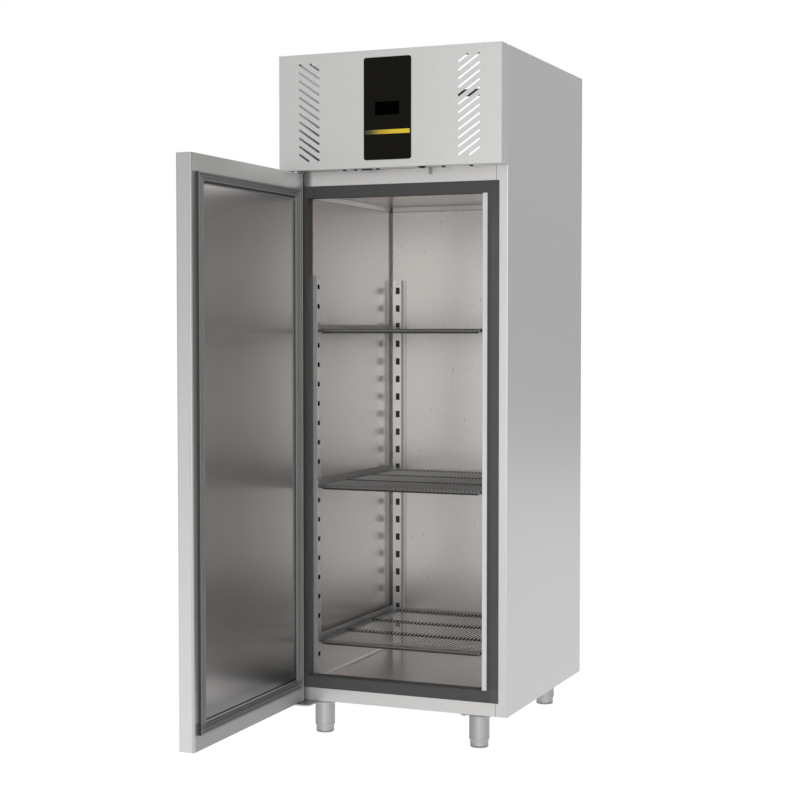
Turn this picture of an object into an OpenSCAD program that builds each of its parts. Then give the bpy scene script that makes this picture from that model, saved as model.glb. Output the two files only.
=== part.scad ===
// Upright refrigerator with one full-height hinged door, a lift-up service panel with slanted
// vents, a stainless steel cell with three wire shelves, and the cooling unit on its top deck.
// Millimetres. +X is right, +Y is to the back, +Z is up. The origin is on the floor below the
// middle of the cabinet. At rest the door stands open, as in use for loading.

/* [Cabinet] */
// Width of the cabinet over its side panels
body_w = 700; // [660:5:780]
// Depth of the cabinet from its front face to its back
body_d = 733; // [715:1:820]
// Height of the cabinet's top above the floor
body_top = 2035; // [2025:5:2100]
// Height of the insulated box between the underside and the top deck
box_h = 1594; // [1584:2:1604]
// Clear height under the cabinet
leg_h = 101; // [96:1:130]
// Thickness of the outer sheet steel
skin_t = 1.5; // [1.2:0.1:2]
// Thickness of the sheet steel that lines the cell
liner_t = 1.2; // [1:0.1:1.5]
// Width of the stile that each side panel folds into at the front
stile_w = 35; // [30:1:38]
// Width of the flanges that the side panels turn in at the other edges
flange_w = 20; // [15:1:25]
// Outer radius of the bends in the panels
bend_r = 3; // [2.5:0.5:5]

/* [Cell] */
// Thickness of the insulated side walls
side_wall = 60; // [55:1:70]
// Thickness of the insulated rear wall
rear_wall = 61; // [50:1:70]
// Thickness of the insulated floor
floor_wall = 52; // [46:1:60]
// Thickness of the insulated roof under the deck
roof_wall = 64; // [58:1:70]
// Height of the folded edges along the cell's ceiling
cove = 15; // [10:1:18]
// Width of the folded edges along the cell's ceiling
cove_w = 4; // [2:1:6]
// Radius where the cell's floor turns up into its walls
floor_r = 10; // [6:1:14]
// Depth of the air channel behind the duct panel
duct_d = 22; // [18:1:30]
// Slit at each side of the duct panel
duct_slit = 7.5; // [6:0.5:12]

/* [Breaker frame] */
// Width of the dark frame round the opening
frame_w = 35; // [32:1:36]
// How far the frame stands proud of the cabinet's front
frame_proud = 2; // [1:0.5:3]
// Depth of the frame's sleeve into the cell
frame_d = 40; // [36:1:44]
// Thickness of the sleeve at the side walls
sleeve_t = 2; // [1.5:0.5:3]
// Height of the sill above the cell's floor
sill_h = 22; // [16:1:26]
// Drop of the header below the cell's ceiling
head_h = 14; // [10:1:18]
// How far the frame laps over the front steel
frame_lap = 8; // [6:1:10]
// Width of the upright light strip in the right jamb
strip_w = 16; // [14:0.5:19]
// Depth of the light strip
strip_d = 16; // [12:1:20]

/* [Shelf rack] */
// Height of the lowest slot above the cell's floor
slot_low = 79; // [70:1:90]
// Height from slot to slot
slot_pitch = 59; // [57:1:60]
// Number of slots in each upright
slot_count = 20; // [18:1:20]
// How far the uprights stand off the wall
rack_d = 14; // [12:1:16]
// Width of the slotted web of an upright
rack_w = 28; // [26:1:32]
// Width of each foot flange of an upright
rack_foot = 9; // [8:1:12]
// Thickness of the uprights and runners
rack_t = 1.5; // [1.2:0.1:1.8]
// Width of the slots in the front uprights
front_slot_w = 16; // [14:1:18]
// Height of the slots in the front uprights
front_slot_h = 14; // [12:1:16]
// Width of the slots in the rear uprights
rear_slot_w = 14; // [12:1:16]
// Height of the slots in the rear uprights
rear_slot_h = 22; // [18:1:24]
// Width of the ledge that carries a shelf
ledge_w = 24; // [22:1:26]
// Height of a runner's upright flange
runner_h = 24; // [20:1:28]

/* [Shelves] */
// Diameter of the rods in a shelf's frame
rod_d = 7; // [6:0.5:8]
// Diameter of a shelf's wires
wire_d = 3; // [2.5:0.5:3.5]
// Distance from wire to wire
wire_pitch = 12.2; // [11:0.1:20]
// Outside corner radius of a shelf's frame
shelf_r = 14; // [10:1:20]
// Gap between a shelf's frame and the rack at each side
shelf_side_gap = 8.5; // [8:0.5:9]
// Distance from the cabinet's front to a shelf's front rod
shelf_inset = 28; // [24:1:36]
// Drop of the second front rod below the frame
front_drop = 5; // [4:0.5:8]

/* [Door] */
// Gap between the closed door's steel and the cabinet's front
door_gap = 12; // [11:0.5:14]
// Thickness of the door
door_t = 47; // [44:1:55]
// Inset of the door's edges from the cabinet's sides
door_inset = 3; // [2:0.5:6]
// Gap between the door's bottom and the cabinet's underside level
door_low = -1; // [-1:0.5:0]
// Gap between the door's top and the service panel
door_top_gap = 6; // [6:0.5:8]
// Radius of the door's upright edges
door_r = 6; // [5:1:6]
// Distance of the hinge axis from the door's edge
hinge_a = 27; // [26:0.5:28]
// Distance of the hinge axis from the door's inner face
hinge_b = 25; // [24:0.5:26]
// Angle by which the door stands open
door_open = 89; // [80:1:95]
// Width of the door gasket
gasket_w = 32; // [28:1:32]
// Distance from the door's edge to the gasket
gasket_edge = 27; // [25:1:28]
// Length of the recessed hand grip
grip_len = 900; // [400:20:1200]
// Width of the grip's mouth
grip_w = 34; // [30:1:40]
// Depth of the grip
grip_d = 26; // [20:1:28]

/* [Hinges] */
// Diameter of the door's hinge pins
pin_d = 10; // [8:0.5:12]
// Radial clearance of the running fits
run_gap = 0.05; // [0.03:0.01:0.08]
// Thickness of the hinge plates
hinge_t = 4; // [3:0.5:4.5]
// Width of the lower hinge plate
hinge_w = 88; // [80:1:95]
// Length of a hinge bush in the door
bush_len = 22; // [18:1:30]

/* [Service panel] */
// Slant of the vents
vent_angle = 34.4; // [30:0.2:38]
// Width of a vent slot
vent_w = 6.6; // [5:0.2:8]
// Height from slot to slot
vent_pitch = 24; // [20:0.5:28]
// Width of a group of vents between the centres of the slots' ends
vent_run = 61; // [50:1:70]
// Distance of the vents from the panel's edge
vent_edge = 65; // [60:1:80]
// Distance of the vents from the panel's upper and lower edges
vent_margin = 28.5; // [24:0.5:36]
// Width of the black control overlay
overlay_w = 148; // [120:2:170]
// Distance of the overlay from the panel's upper and lower edges
overlay_margin = 22; // [16:1:30]
// Corner radius of the overlay
overlay_r = 7; // [4:0.5:10]
// Thickness of the overlay
overlay_t = 2.5; // [1.5:0.5:4]
// Width of the display window
display_w = 76; // [60:2:100]
// Height of the display window
display_h = 39; // [30:1:50]
// Diameter of the panel's hinge pins
panel_pin_d = 6; // [5:0.5:8]

/* [Feet] */
// Diameter of a foot's sleeve
sleeve_d = 60; // [50:1:64]
// Wall of a foot's sleeve
sleeve_wall = 2.5; // [2:0.5:3]
// Height of the lower, turning part of a foot
foot_h = 28; // [24:1:34]
// Diameter at the bottom of a foot
foot_d = 54; // [46:1:58]
// Diameter of a foot's spindle
spindle_d = 16; // [12:1:20]
// Distance of the feet's axes from the cabinet's sides
foot_x = 100; // [90:1:120]
// Distance of the front feet's axes from the cabinet's front
foot_front = 42; // [40:1:60]
// Distance of the rear feet's axes from the cabinet's back
foot_rear = 65; // [50:1:80]

/* [Cooling unit] */
// Width of the evaporator housing
evap_w = 190; // [180:2:198]
// Length of the evaporator housing
evap_l = 370; // [350:2:375]
// Height of the evaporator housing
evap_h = 230; // [200:5:250]
// Wall of the evaporator housing
evap_wall = 22; // [18:1:26]
// Width of the condenser's fin pack
cond_w = 270; // [240:2:290]
// Height of the condenser's fin pack
cond_h = 250; // [220:5:270]
// Depth of the condenser's fin pack
cond_d = 66; // [50:2:80]
// Number of fins in the condenser
cond_fins = 40; // [20:1:50]
// Diameter of the condenser fan
fan_d = 230; // [200:5:240]
// Diameter of the compressor's shell
comp_d = 170; // [150:2:190]
// Height of the compressor's shell
comp_h = 185; // [160:5:210]
// Diameter of the refrigerant pipes
pipe_d = 8; // [6:0.5:10]

/* [Hidden] */
$fn = 64;
eps = 0.01;
// The smallest gap between pieces on different bodies
play = 0.3;

// The cabinet's main planes
hw = body_w / 2;
front = -body_d / 2;
back = body_d / 2;
deck_z = leg_h + box_h;
panel_h = body_top - deck_z;

// The cell's faces
cell_x = hw - side_wall;
cell_lo = leg_h + floor_wall;
cell_hi = deck_z - roof_wall;
cell_back = back - rear_wall;
duct_y = cell_back - duct_d;

// The breaker frame's window and outline
win_x = cell_x - sleeve_t;
win_lo = cell_lo + sill_h;
win_hi = cell_hi - head_h;
frame_x = win_x + frame_w;
frame_lo = win_lo - frame_w;
frame_hi = win_hi + frame_w;
stile_x = hw - stile_w;
rail_lo = frame_lo + frame_lap;
rail_hi = frame_hi - frame_lap;

// The shelf rack
slot_z0 = cell_lo + slot_low;
rack_lo = cell_lo + floor_r + 4;
rack_hi = slot_z0 + (slot_count - 1) * slot_pitch + 34;
rack_x = cell_x - rack_d;
front_rack_y = front + frame_d + 2 + rack_w / 2;
rear_rack_x = cell_x - duct_slit - rack_foot - rack_w / 2;
rear_face_y = duct_y - rack_d;
level_slots = [1, 9, 17];
level_names = ["lower", "middle", "upper"];

// The shelves
shelf_x = rack_x - shelf_side_gap - rod_d / 2;
shelf_front = front + shelf_inset;
shelf_back = rear_face_y - 9.5;
shelf_len = shelf_back - shelf_front;
wire_n = floor((2 * shelf_x - rod_d - wire_d) / wire_pitch / 2);
weld = 0.4;

// The door, drawn closed and then swung open about its hinge
door_x = hw - door_inset;
door_lo = leg_h + door_low;
door_hi = deck_z - door_top_gap;
door_in_y = front - door_gap;
door_out_y = door_in_y - door_t;
hinge_x = -door_x + hinge_a;
hinge_y = door_in_y - hinge_b;
gasket_x = door_x - gasket_edge;
gasket_lo = frame_lo + 1.5;
gasket_hi = frame_hi - 7;
gasket_t = door_gap - frame_proud - play;
pan_x = gasket_x - gasket_w;
pan_lo = gasket_lo + gasket_w;
pan_hi = gasket_hi - gasket_w;
pan_y = door_in_y - 1.5;
door_skin = skin_t;
grip_x = door_x - 44;
grip_z = (door_lo + door_hi) / 2;

// The service panel
panel_y = door_out_y;
panel_rear = front - 2;
panel_pivot_y = front - 16;
panel_pivot_z = body_top - 13;
vent_top = body_top - vent_margin - vent_w / 4;
vent_low = deck_z + vent_margin - vent_w / 4;
overlay_lo = deck_z + overlay_margin;
overlay_hi = body_top - overlay_margin;
display_z = overlay_lo + (overlay_hi - overlay_lo) / 2;

// The feet, as left front, right front, left rear and right rear
foot_at = [
    [-hw + foot_x, front + foot_front], [hw - foot_x, front + foot_front],
    [-hw + foot_x, back - foot_rear], [hw - foot_x, back - foot_rear]
];
mount_t = 4;
spindle_top = leg_h - mount_t - 2;

// The cooling unit
evap_x = hw - skin_t - 3 - evap_w / 2;
evap_y = back - skin_t - 30 - evap_l / 2;
evap_in_y = evap_y - evap_l / 2 + evap_wall;
evap_fan_y = evap_y + 40;
cond_x = -45;
cond_y = front + 75;
fan_y = cond_y + cond_d + 24;
fan_z = deck_z + 8 + cond_h / 2;
comp_x = -hw + 135;
comp_y = back - 230;
comp_z = deck_z + 22;
drier_x = cond_x - 60;
drier_y = cond_y + cond_d + 112;
drier_z = deck_z + 30;

// General shapes

// A block between two corners
module block(a, b) {
    translate(a) cube(b - a);
}

// A rectangle with round corners, drawn about the origin
module round_rect(w, h, r) {
    union() {
        square([w, h - 2 * r], center = true);
        square([w - 2 * r, h], center = true);
        for (sx = [-1, 1], sy = [-1, 1])
            translate([sx * (w / 2 - r), sy * (h / 2 - r)]) circle(r);
    }
}

// The quarter ring of a bend about the origin, from +X round to +Y
module bend_2d(r, t) {
    intersection() {
        difference() {
            circle(r);
            circle(r - t);
        }
        square(r + 1);
    }
}

// A slot with round ends between two points
module slot_2d(a, b, w) {
    run = b - a;
    long = norm(run);
    translate(a) rotate(atan2(run[1], run[0])) {
        translate([0, -w / 2]) square([long, w]);
        circle(w / 2);
        translate([long, 0]) circle(w / 2);
    }
}

// A flat drawing in X and Z, given depth along Y from y0 to y1
module upright_plate(y0, y1) {
    translate([0, y1, 0]) rotate([90, 0, 0]) linear_extrude(y1 - y0) children();
}

// A flat drawing in Y and Z, given depth along X from x0 to x1
module side_plate(x0, x1) {
    translate([x0, 0, 0]) rotate([90, 0, 90]) linear_extrude(x1 - x0) children();
}

// A rod between two points that lie on one axis line
module rod(a, b, d) {
    run = b - a;
    long = norm(run);
    translate(a)
        rotate([0, acos(run[2] / long), atan2(run[1], run[0])])
            cylinder(h = long, d = d);
}

// A frame in the X and Z plane between an outer and an inner rectangle
module ring_plate(x_out, lo_out, hi_out, x_in, lo_in, hi_in, y0, y1) {
    difference() {
        block([-x_out, y0, lo_out], [x_out, y1, hi_out]);
        block([-x_in, y0 - 1, lo_in], [x_in, y1 + 1, hi_in]);
    }
}

// Turns the closed door's drawing to its open place
module swung_open() {
    translate([hinge_x, hinge_y, 0]) rotate([0, 0, -door_open])
        translate([-hinge_x, -hinge_y, 0]) children();
}

// Cabinet sheet metal

// One side panel with its front stile and its turned-in flanges, on the right
module side_panel() {
    web_y0 = front + bend_r;
    web_y1 = back - bend_r;
    translate([0, 0, leg_h]) linear_extrude(body_top - leg_h) {
        translate([hw - skin_t, web_y0]) square([skin_t, web_y1 - web_y0]);
        translate([hw - bend_r, web_y1]) bend_2d(bend_r, skin_t);
        translate([hw - bend_r, web_y0]) mirror([0, 1]) bend_2d(bend_r, skin_t);
        translate([stile_x, front]) square([hw - bend_r - stile_x, skin_t]);
        translate([hw - flange_w, back - skin_t]) square([flange_w - bend_r, skin_t]);
    }
    for (z = [leg_h, body_top - skin_t])
        block(
            [hw - flange_w, front + skin_t - eps, z],
            [hw - skin_t / 2, back - skin_t + eps, z + skin_t]
        );
}

module side_panel_left() {
    color([0.78, 0.78, 0.77]) mirror([1, 0, 0]) side_panel();
}

module side_panel_right() {
    color([0.78, 0.78, 0.77]) side_panel();
}

// The flat back of the insulated box, between the side panels' rear flanges
module rear_panel() {
    x = hw - flange_w;
    color([0.7, 0.7, 0.69]) {
        block([-x, back - skin_t, leg_h + skin_t], [x, back, deck_z]);
    }
}

// The underside, between the side panels' lower flanges
module base_panel() {
    x = hw - flange_w;
    color([0.66, 0.66, 0.65])
        block([-x, front + skin_t, leg_h], [x, back - skin_t, leg_h + skin_t]);
}

module top_rail() {
    color([0.82, 0.81, 0.8])
        block([-stile_x, front, rail_hi], [stile_x, front + skin_t, deck_z]);
}

module bottom_rail() {
    color([0.82, 0.81, 0.8])
        block([-stile_x, front, leg_h], [stile_x, front + skin_t, rail_lo]);
}

// Insulation and cell

// The cell's outline in X and Z, grown by a margin
module cell_outline(grow) {
    x = cell_x + grow;
    lo = cell_lo - grow;
    hi = cell_hi + grow;
    r = floor_r + grow;
    lean = atan2(cove_w, cove);
    c = cove + grow * (1 - tan(lean / 2));
    w = cove_w + grow * (1 - tan(45 - lean / 2));
    union() {
        polygon([[-x, lo + r], [x, lo + r], [x, hi - c], [x - w, hi], [w - x, hi], [-x, hi - c]]);
        translate([r - x, lo]) square([2 * (x - r), r + eps]);
        for (s = [-1, 1]) translate([s * (x - r), lo + r]) circle(r);
    }
}

// The holes by which the evaporator's air leaves and enters the cell
module air_ways(z0, z1, grow) {
    x0 = evap_x - evap_w / 2 + evap_wall + 4 - grow;
    x1 = cell_x - cove - 5 + grow;
    block([x0, evap_in_y + 20 - grow, z0], [x1, evap_in_y + 150 + grow, z1]);
    block([x0, duct_y + liner_t + 1 - grow, z0], [x1, cell_back - 1 + grow, z1]);
}

// The outline inside the outer steel, which follows its bends
module inside_outline() {
    round_rect(body_w - 2 * skin_t, body_d - 2 * skin_t, bend_r - skin_t);
}

module insulation() {
    color([0.9, 0.85, 0.68]) difference() {
        translate([0, 0, leg_h + skin_t]) linear_extrude(box_h - 2 * skin_t) inside_outline();
        upright_plate(front + frame_d, cell_back + liner_t) cell_outline(liner_t);
        upright_plate(front, front + frame_d + eps) cell_outline(0);
        air_ways(cell_hi - 1, deck_z + 1, 0);
    }
}

// The welded steel lining: an open box with coved edges
module cell_liner() {
    y0 = front + frame_d;
    color([0.72, 0.71, 0.69]) difference() {
        upright_plate(y0, cell_back + liner_t) cell_outline(liner_t);
        upright_plate(y0 - 1, cell_back) cell_outline(0);
        air_ways(cell_hi - 1, cell_hi + liner_t + 1, 0);
    }
}

// The dark plastic frame that parts the warm steel from the cold
module breaker_frame() {
    color([0.28, 0.28, 0.28]) difference() {
        union() {
            block([-frame_x, front - frame_proud, frame_lo], [frame_x, front, frame_hi]);
            block([-stile_x, front - eps, rail_lo], [stile_x, front + skin_t, rail_hi]);
            upright_plate(front, front + frame_d) cell_outline(0);
        }
        block([-win_x, front - frame_proud - 1, win_lo], [win_x, front + frame_d + 1, win_hi]);
    }
}

// The pale light strip that stands in the right jamb
module light_strip() {
    x1 = win_x;
    x0 = x1 - strip_w;
    color([0.88, 0.88, 0.88]) translate([0, 0, win_lo])
        linear_extrude(win_hi - win_lo) polygon([
            [x1, front], [x0 + 1, front], [x0, front + 1], [x0, front + strip_d - 6],
            [x0 + 6, front + strip_d], [x1, front + strip_d]
        ]);
}

// The panel that hides the air channel at the cell's back
module air_duct_panel() {
    x = cell_x - duct_slit;
    lo = cell_lo + 12;
    hi = cell_hi - cove;
    color([0.72, 0.71, 0.69]) {
        block([-x, duct_y, lo], [x, duct_y + liner_t, hi]);
        // The fold that leans forward to the ceiling
        top_x = min(x, cell_x - cove_w - 1);
        side_plate(-top_x, top_x) polygon([
            [duct_y, hi - eps], [duct_y + liner_t, hi - eps], [duct_y + liner_t, hi],
            [duct_y + liner_t - cove_w, cell_hi], [duct_y - cove_w, cell_hi]
        ]);
    }
}

// The two upright stays that hold the duct panel off the liner and close the channel's sides
module duct_stays() {
    x = cell_x - duct_slit;
    color([0.7, 0.69, 0.67]) for (s = [-1, 1]) mirror([s < 0 ? 1 : 0, 0, 0])
        block(
            [x - liner_t, duct_y + liner_t, cell_lo + 12],
            [x, cell_back, cell_hi - cove]
        );
}

// The floor of the machine compartment
module top_deck() {
    color([0.66, 0.67, 0.67]) difference() {
        translate([0, 0, deck_z - skin_t]) linear_extrude(skin_t) inside_outline();
        air_ways(deck_z - skin_t - 1, deck_z + 1, 0);
    }
}

// The folded rail that ties the side panels together at the upper rear edge
module rear_cross_rail() {
    x = hw - skin_t;
    y = back - skin_t;
    z = body_top - skin_t - 13;
    color([0.35, 0.35, 0.35]) side_plate(-x, x) difference() {
        translate([y - 26, z - 20]) square([26, 20]);
        translate([y - 26 + skin_t, z - 20 - 1]) square([26 - 2 * skin_t, 20 - skin_t + 1]);
    }
}

// Shelf rack

// The section of an upright. Its feet lie on y = 0 and its web stands off towards +Y.
// The feet are the sides that have a foot flange.
module hat_2d(feet) {
    half = rack_w / 2;
    for (s = feet)
        translate([s * (half + rack_foot / 2 - rack_t / 2), rack_t / 2])
            square([rack_foot + rack_t, rack_t], center = true);
    for (s = [-1, 1])
        translate([s * (half - rack_t / 2), rack_d / 2]) square([rack_t, rack_d], center = true);
    translate([-half, rack_d - rack_t]) square([rack_w, rack_t]);
}

// An upright along Z with its slots, standing at the origin and facing +Y
module rack_upright(slot_w, slot_h, feet) {
    difference() {
        translate([0, 0, rack_lo]) linear_extrude(rack_hi - rack_lo) hat_2d(feet);
        for (i = [0 : slot_count - 1])
            translate([-slot_w / 2, rack_d - rack_t - 1, slot_z0 + i * slot_pitch - slot_h / 2])
                cube([slot_w, rack_t + 2, slot_h]);
    }
}

module rack_front_left() {
    color([0.74, 0.74, 0.73]) translate([-cell_x, front_rack_y, 0]) rotate([0, 0, -90])
        rack_upright(front_slot_w, front_slot_h, [-1]);
}

module rack_front_right() {
    color([0.74, 0.74, 0.73]) mirror([1, 0, 0]) rack_front_left();
}

module rack_rear_left() {
    color([0.74, 0.74, 0.73]) translate([-rear_rack_x, duct_y, 0]) rotate([0, 0, 180])
        rack_upright(rear_slot_w, rear_slot_h, [-1, 1]);
}

module rack_rear_right() {
    color([0.74, 0.74, 0.73]) mirror([1, 0, 0]) rack_rear_left();
}

// A left runner: a folded angle that hooks into the front and rear uprights at one slot
module runner(level) {
    z = slot_z0 + level_slots[level] * slot_pitch;
    ledge_top = z - 15 - rod_d / 2 - play;
    x0 = -rack_x;
    y0 = front + frame_d + 4;
    y1 = rear_face_y - 1;
    lug_w = front_slot_w - 4;
    lug_h = front_slot_h - 4;
    tongue = rear_slot_w - 4;
    color([0.8, 0.8, 0.79]) {
        block([x0, y0, ledge_top - rack_t], [x0 + rack_t, y1, ledge_top - rack_t + runner_h]);
        block([x0, y0, ledge_top - rack_t], [x0 + ledge_w, y1, ledge_top]);
        // Front lug through the upright's side, with its downturned tip
        block(
            [x0 - rack_t - 3, front_rack_y - lug_w / 2, z - lug_h / 2],
            [x0 + rack_t, front_rack_y + lug_w / 2, z + lug_h / 2]
        );
        // Rear tongue through the upright's face
        translate([-rear_rack_x, 0, 0]) {
            block([-tongue / 2, y1 - 2.5, ledge_top - rack_t], [tongue / 2, y1, ledge_top + 14]);
            block([-tongue / 2, y1 - 1, z - 8], [tongue / 2, rear_face_y + rack_t + 3, z - 4]);
        }
    }
}

module runner_lower_left() { runner(0); }
module runner_lower_right() { mirror([1, 0, 0]) runner(0); }
module runner_middle_left() { runner(1); }
module runner_middle_right() { mirror([1, 0, 0]) runner(1); }
module runner_upper_left() { runner(2); }
module runner_upper_right() { mirror([1, 0, 0]) runner(2); }

// A wire shelf: a bent rod frame, two cross rods, a second front rod and the wires
module shelf(level) {
    z = slot_z0 + level_slots[level] * slot_pitch - 15;
    r = shelf_r;
    color([0.62, 0.62, 0.6]) translate([0, 0, z]) {
        for (s = [-1, 1]) {
            rod([s * shelf_x, shelf_front + r, 0], [s * shelf_x, shelf_back - r, 0], rod_d);
            translate([s * (shelf_x - r), shelf_front + r, 0]) mirror([s < 0 ? 1 : 0, 0, 0])
                rotate([0, 0, -90]) rotate_extrude(angle = 90) translate([r, 0]) circle(d = rod_d);
            translate([s * (shelf_x - r), shelf_back - r, 0]) mirror([s < 0 ? 1 : 0, 0, 0])
                rotate_extrude(angle = 90) translate([r, 0]) circle(d = rod_d);
        }
        for (y = [shelf_front, shelf_back])
            rod([-(shelf_x - r), y, 0], [shelf_x - r, y, 0], rod_d);
        for (k = [1, 2])
            translate([0, shelf_front + shelf_len * k / 3, 0])
                rod([-shelf_x, 0, 0], [shelf_x, 0, 0], rod_d - 1);
        low_y = shelf_front - 1;
        rod([-(shelf_x - r), low_y, -front_drop], [shelf_x - r, low_y, -front_drop], rod_d - 2);
        up = (rod_d + wire_d) / 2 - weld;
        tip_y = shelf_front - rod_d / 2 - wire_d / 2 + weld;
        for (i = [-wire_n : wire_n])
            translate([i * wire_pitch, 0, 0]) {
                rod([0, tip_y, up], [0, shelf_back + rod_d / 2, up], wire_d);
                rod([0, tip_y, -front_drop], [0, tip_y, up + wire_d / 2], wire_d);
            }
    }
}

module shelf_lower() { shelf(0); }
module shelf_middle() { shelf(1); }
module shelf_upper() { shelf(2); }

// Door hinges and feet

// The outline of a hinge plate: square at the back, round where it reaches forward
module hinge_plate_2d(x0, x1, y0, y1, r) {
    translate([x0, y0 + r]) square([x1 - x0, y1 - y0 - r]);
    translate([x0 + r, y0]) square([x1 - x0 - 2 * r, r + eps]);
    for (x = [x0 + r, x1 - r]) translate([x, y0 + r]) circle(r);
}

// The upper plate is screwed to the top rail, and its pin reaches down into the door
module upper_hinge() {
    z1 = deck_z - 1;
    z0 = z1 - hinge_t;
    color([0.7, 0.7, 0.68]) {
        translate([0, 0, z0]) linear_extrude(hinge_t)
            hinge_plate_2d(hinge_x - 20, hinge_x + 26, hinge_y - 14, front, 12);
        block([hinge_x - 20, front - 2, z0 - 26], [hinge_x + 26, front, z1]);
        translate([hinge_x, hinge_y, z0 - 20]) cylinder(h = 20 + hinge_t, d = pin_d);
    }
}

// The lower plate is screwed under the cabinet and carries the door on a thrust collar
module lower_hinge() {
    z1 = door_lo - 2;
    z0 = z1 - hinge_t;
    x0 = -hw + 5;
    color([0.7, 0.7, 0.68]) {
        translate([0, 0, z0]) linear_extrude(hinge_t)
            hinge_plate_2d(x0, x0 + hinge_w, hinge_y - 24, front + 1, 16);
        block([x0, front + 1 - eps, z0], [x0 + 20, front + foot_front + 38, leg_h]);
        block([x0, front + 1 - eps, z0], [x0 + hinge_w, front + foot_front - 36, leg_h]);
        translate([hinge_x, hinge_y, z0]) cylinder(h = hinge_t + 22, d = pin_d);
        translate([hinge_x, hinge_y, z1 - eps]) cylinder(h = 2 - play, d = pin_d + 8);
    }
}

// The four steel sleeves with their mounting plates and spindle nuts
module foot_sleeves() {
    color([0.72, 0.72, 0.71]) for (p = foot_at) translate([p[0], p[1], 0]) {
        difference() {
            union() {
                translate([-46, -36, leg_h - mount_t]) cube([92, 76, mount_t]);
                translate([0, 0, foot_h + play])
                    cylinder(h = leg_h - mount_t - foot_h - play + eps, d = sleeve_d);
            }
            translate([0, 0, foot_h])
                cylinder(h = leg_h - mount_t - foot_h - 6, d = sleeve_d - 2 * sleeve_wall);
            translate([0, 0, foot_h]) cylinder(h = spindle_top + 1 - foot_h, d = spindle_d + 2 * run_gap);
        }
        difference() {
            translate([0, 0, foot_h + 12])
                cylinder(h = leg_h - mount_t - 18 - foot_h + eps, d = spindle_d + 14);
            translate([0, 0, foot_h]) cylinder(h = leg_h, d = spindle_d + 2 * run_gap);
        }
    }
}

// A turning foot: a tapered cup on a spindle that runs in the sleeve's nut
module levelling_foot(i) {
    neck = foot_h - 11;
    color([0.7, 0.7, 0.69]) translate([foot_at[i][0], foot_at[i][1], 0]) union() {
        rotate_extrude() polygon([
            [0, 0], [foot_d / 2 - 2, 0], [foot_d / 2, 2], [foot_d / 2, neck],
            [sleeve_d / 2, foot_h - 3], [sleeve_d / 2, foot_h], [0, foot_h]
        ]);
        cylinder(h = spindle_top, d = spindle_d);
    }
}

module foot_front_left() { levelling_foot(0); }
module foot_front_right() { levelling_foot(1); }
module foot_rear_left() { levelling_foot(2); }
module foot_rear_right() { levelling_foot(3); }

// Door

// The door's outline in X and Y, closed, shrunk by a margin
module door_outline(shrink) {
    translate([0, (door_in_y + door_out_y) / 2])
        round_rect(2 * (door_x - shrink), door_t - 2 * shrink, door_r - shrink);
}

// The pocket that takes the hand grip, grown by a margin
module grip_pocket(grow) {
    z0 = grip_z - grip_len / 2;
    translate([0, 0, z0 - grow]) linear_extrude(grip_len + 2 * grow)
        translate([grip_x - grip_w / 2 - grow, door_out_y - 1])
            square([grip_w + 2 * grow, grip_d + 1 + grow]);
}

// The outer pan, folded from one sheet, with the border that the gasket seats on
module door_skin_panel() {
    t = door_skin;
    color([0.79, 0.79, 0.78]) swung_open() difference() {
        translate([0, 0, door_lo]) linear_extrude(door_hi - door_lo) door_outline(0);
        translate([0, 0, door_lo + t]) linear_extrude(door_hi - door_lo - 2 * t) door_outline(t);
        block([-pan_x, door_in_y - 5, pan_lo], [pan_x, door_in_y + 1, pan_hi]);
        grip_pocket(0);
        for (z = [door_lo - 1, door_hi - t - 1])
            translate([hinge_x, hinge_y, z]) cylinder(h = t + 2, d = pin_d + 8);
    }
}

// The brushed inner panel, set back a little inside the gasket
module door_inner_panel() {
    t = liner_t;
    color([0.66, 0.65, 0.63]) swung_open() {
        block([-pan_x, pan_y - t, pan_lo], [pan_x, pan_y, pan_hi]);
        ring_plate(
            pan_x, pan_lo, pan_hi, pan_x - t, pan_lo + t, pan_hi - t, pan_y - eps, door_in_y
        );
    }
}

// The foam core between the pan and the inner panel
module door_foam() {
    t = door_skin;
    color([0.9, 0.85, 0.68]) swung_open() difference() {
        translate([0, 0, door_lo + t]) linear_extrude(door_hi - door_lo - 2 * t) door_outline(t);
        block([-pan_x, pan_y - liner_t, pan_lo], [pan_x, door_in_y + 1, pan_hi]);
        grip_pocket(2);
        for (z = [door_lo, door_hi - bush_len - 1])
            translate([hinge_x, hinge_y, z]) cylinder(h = bush_len + 1, d = pin_d + 8);
    }
}

// The ridges of the gasket, as distance from its outer edge, width and height
gasket_ridges = [[0, 1, 0.35], [0, 0.22, 1], [0.34, 0.13, 0.72], [0.57, 0.13, 0.72], [0.8, 0.2, 0.9]];

// The grey gasket: a flat base with longitudinal ridges all round
module door_gasket() {
    color([0.42, 0.42, 0.42]) swung_open() for (ridge = gasket_ridges) {
        off = ridge[0] * gasket_w;
        in = off + ridge[1] * gasket_w;
        ring_plate(
            gasket_x - off, gasket_lo + off, gasket_hi - off,
            gasket_x - in, gasket_lo + in, gasket_hi - in,
            door_in_y, door_in_y + ridge[2] * gasket_t
        );
    }
}

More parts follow.
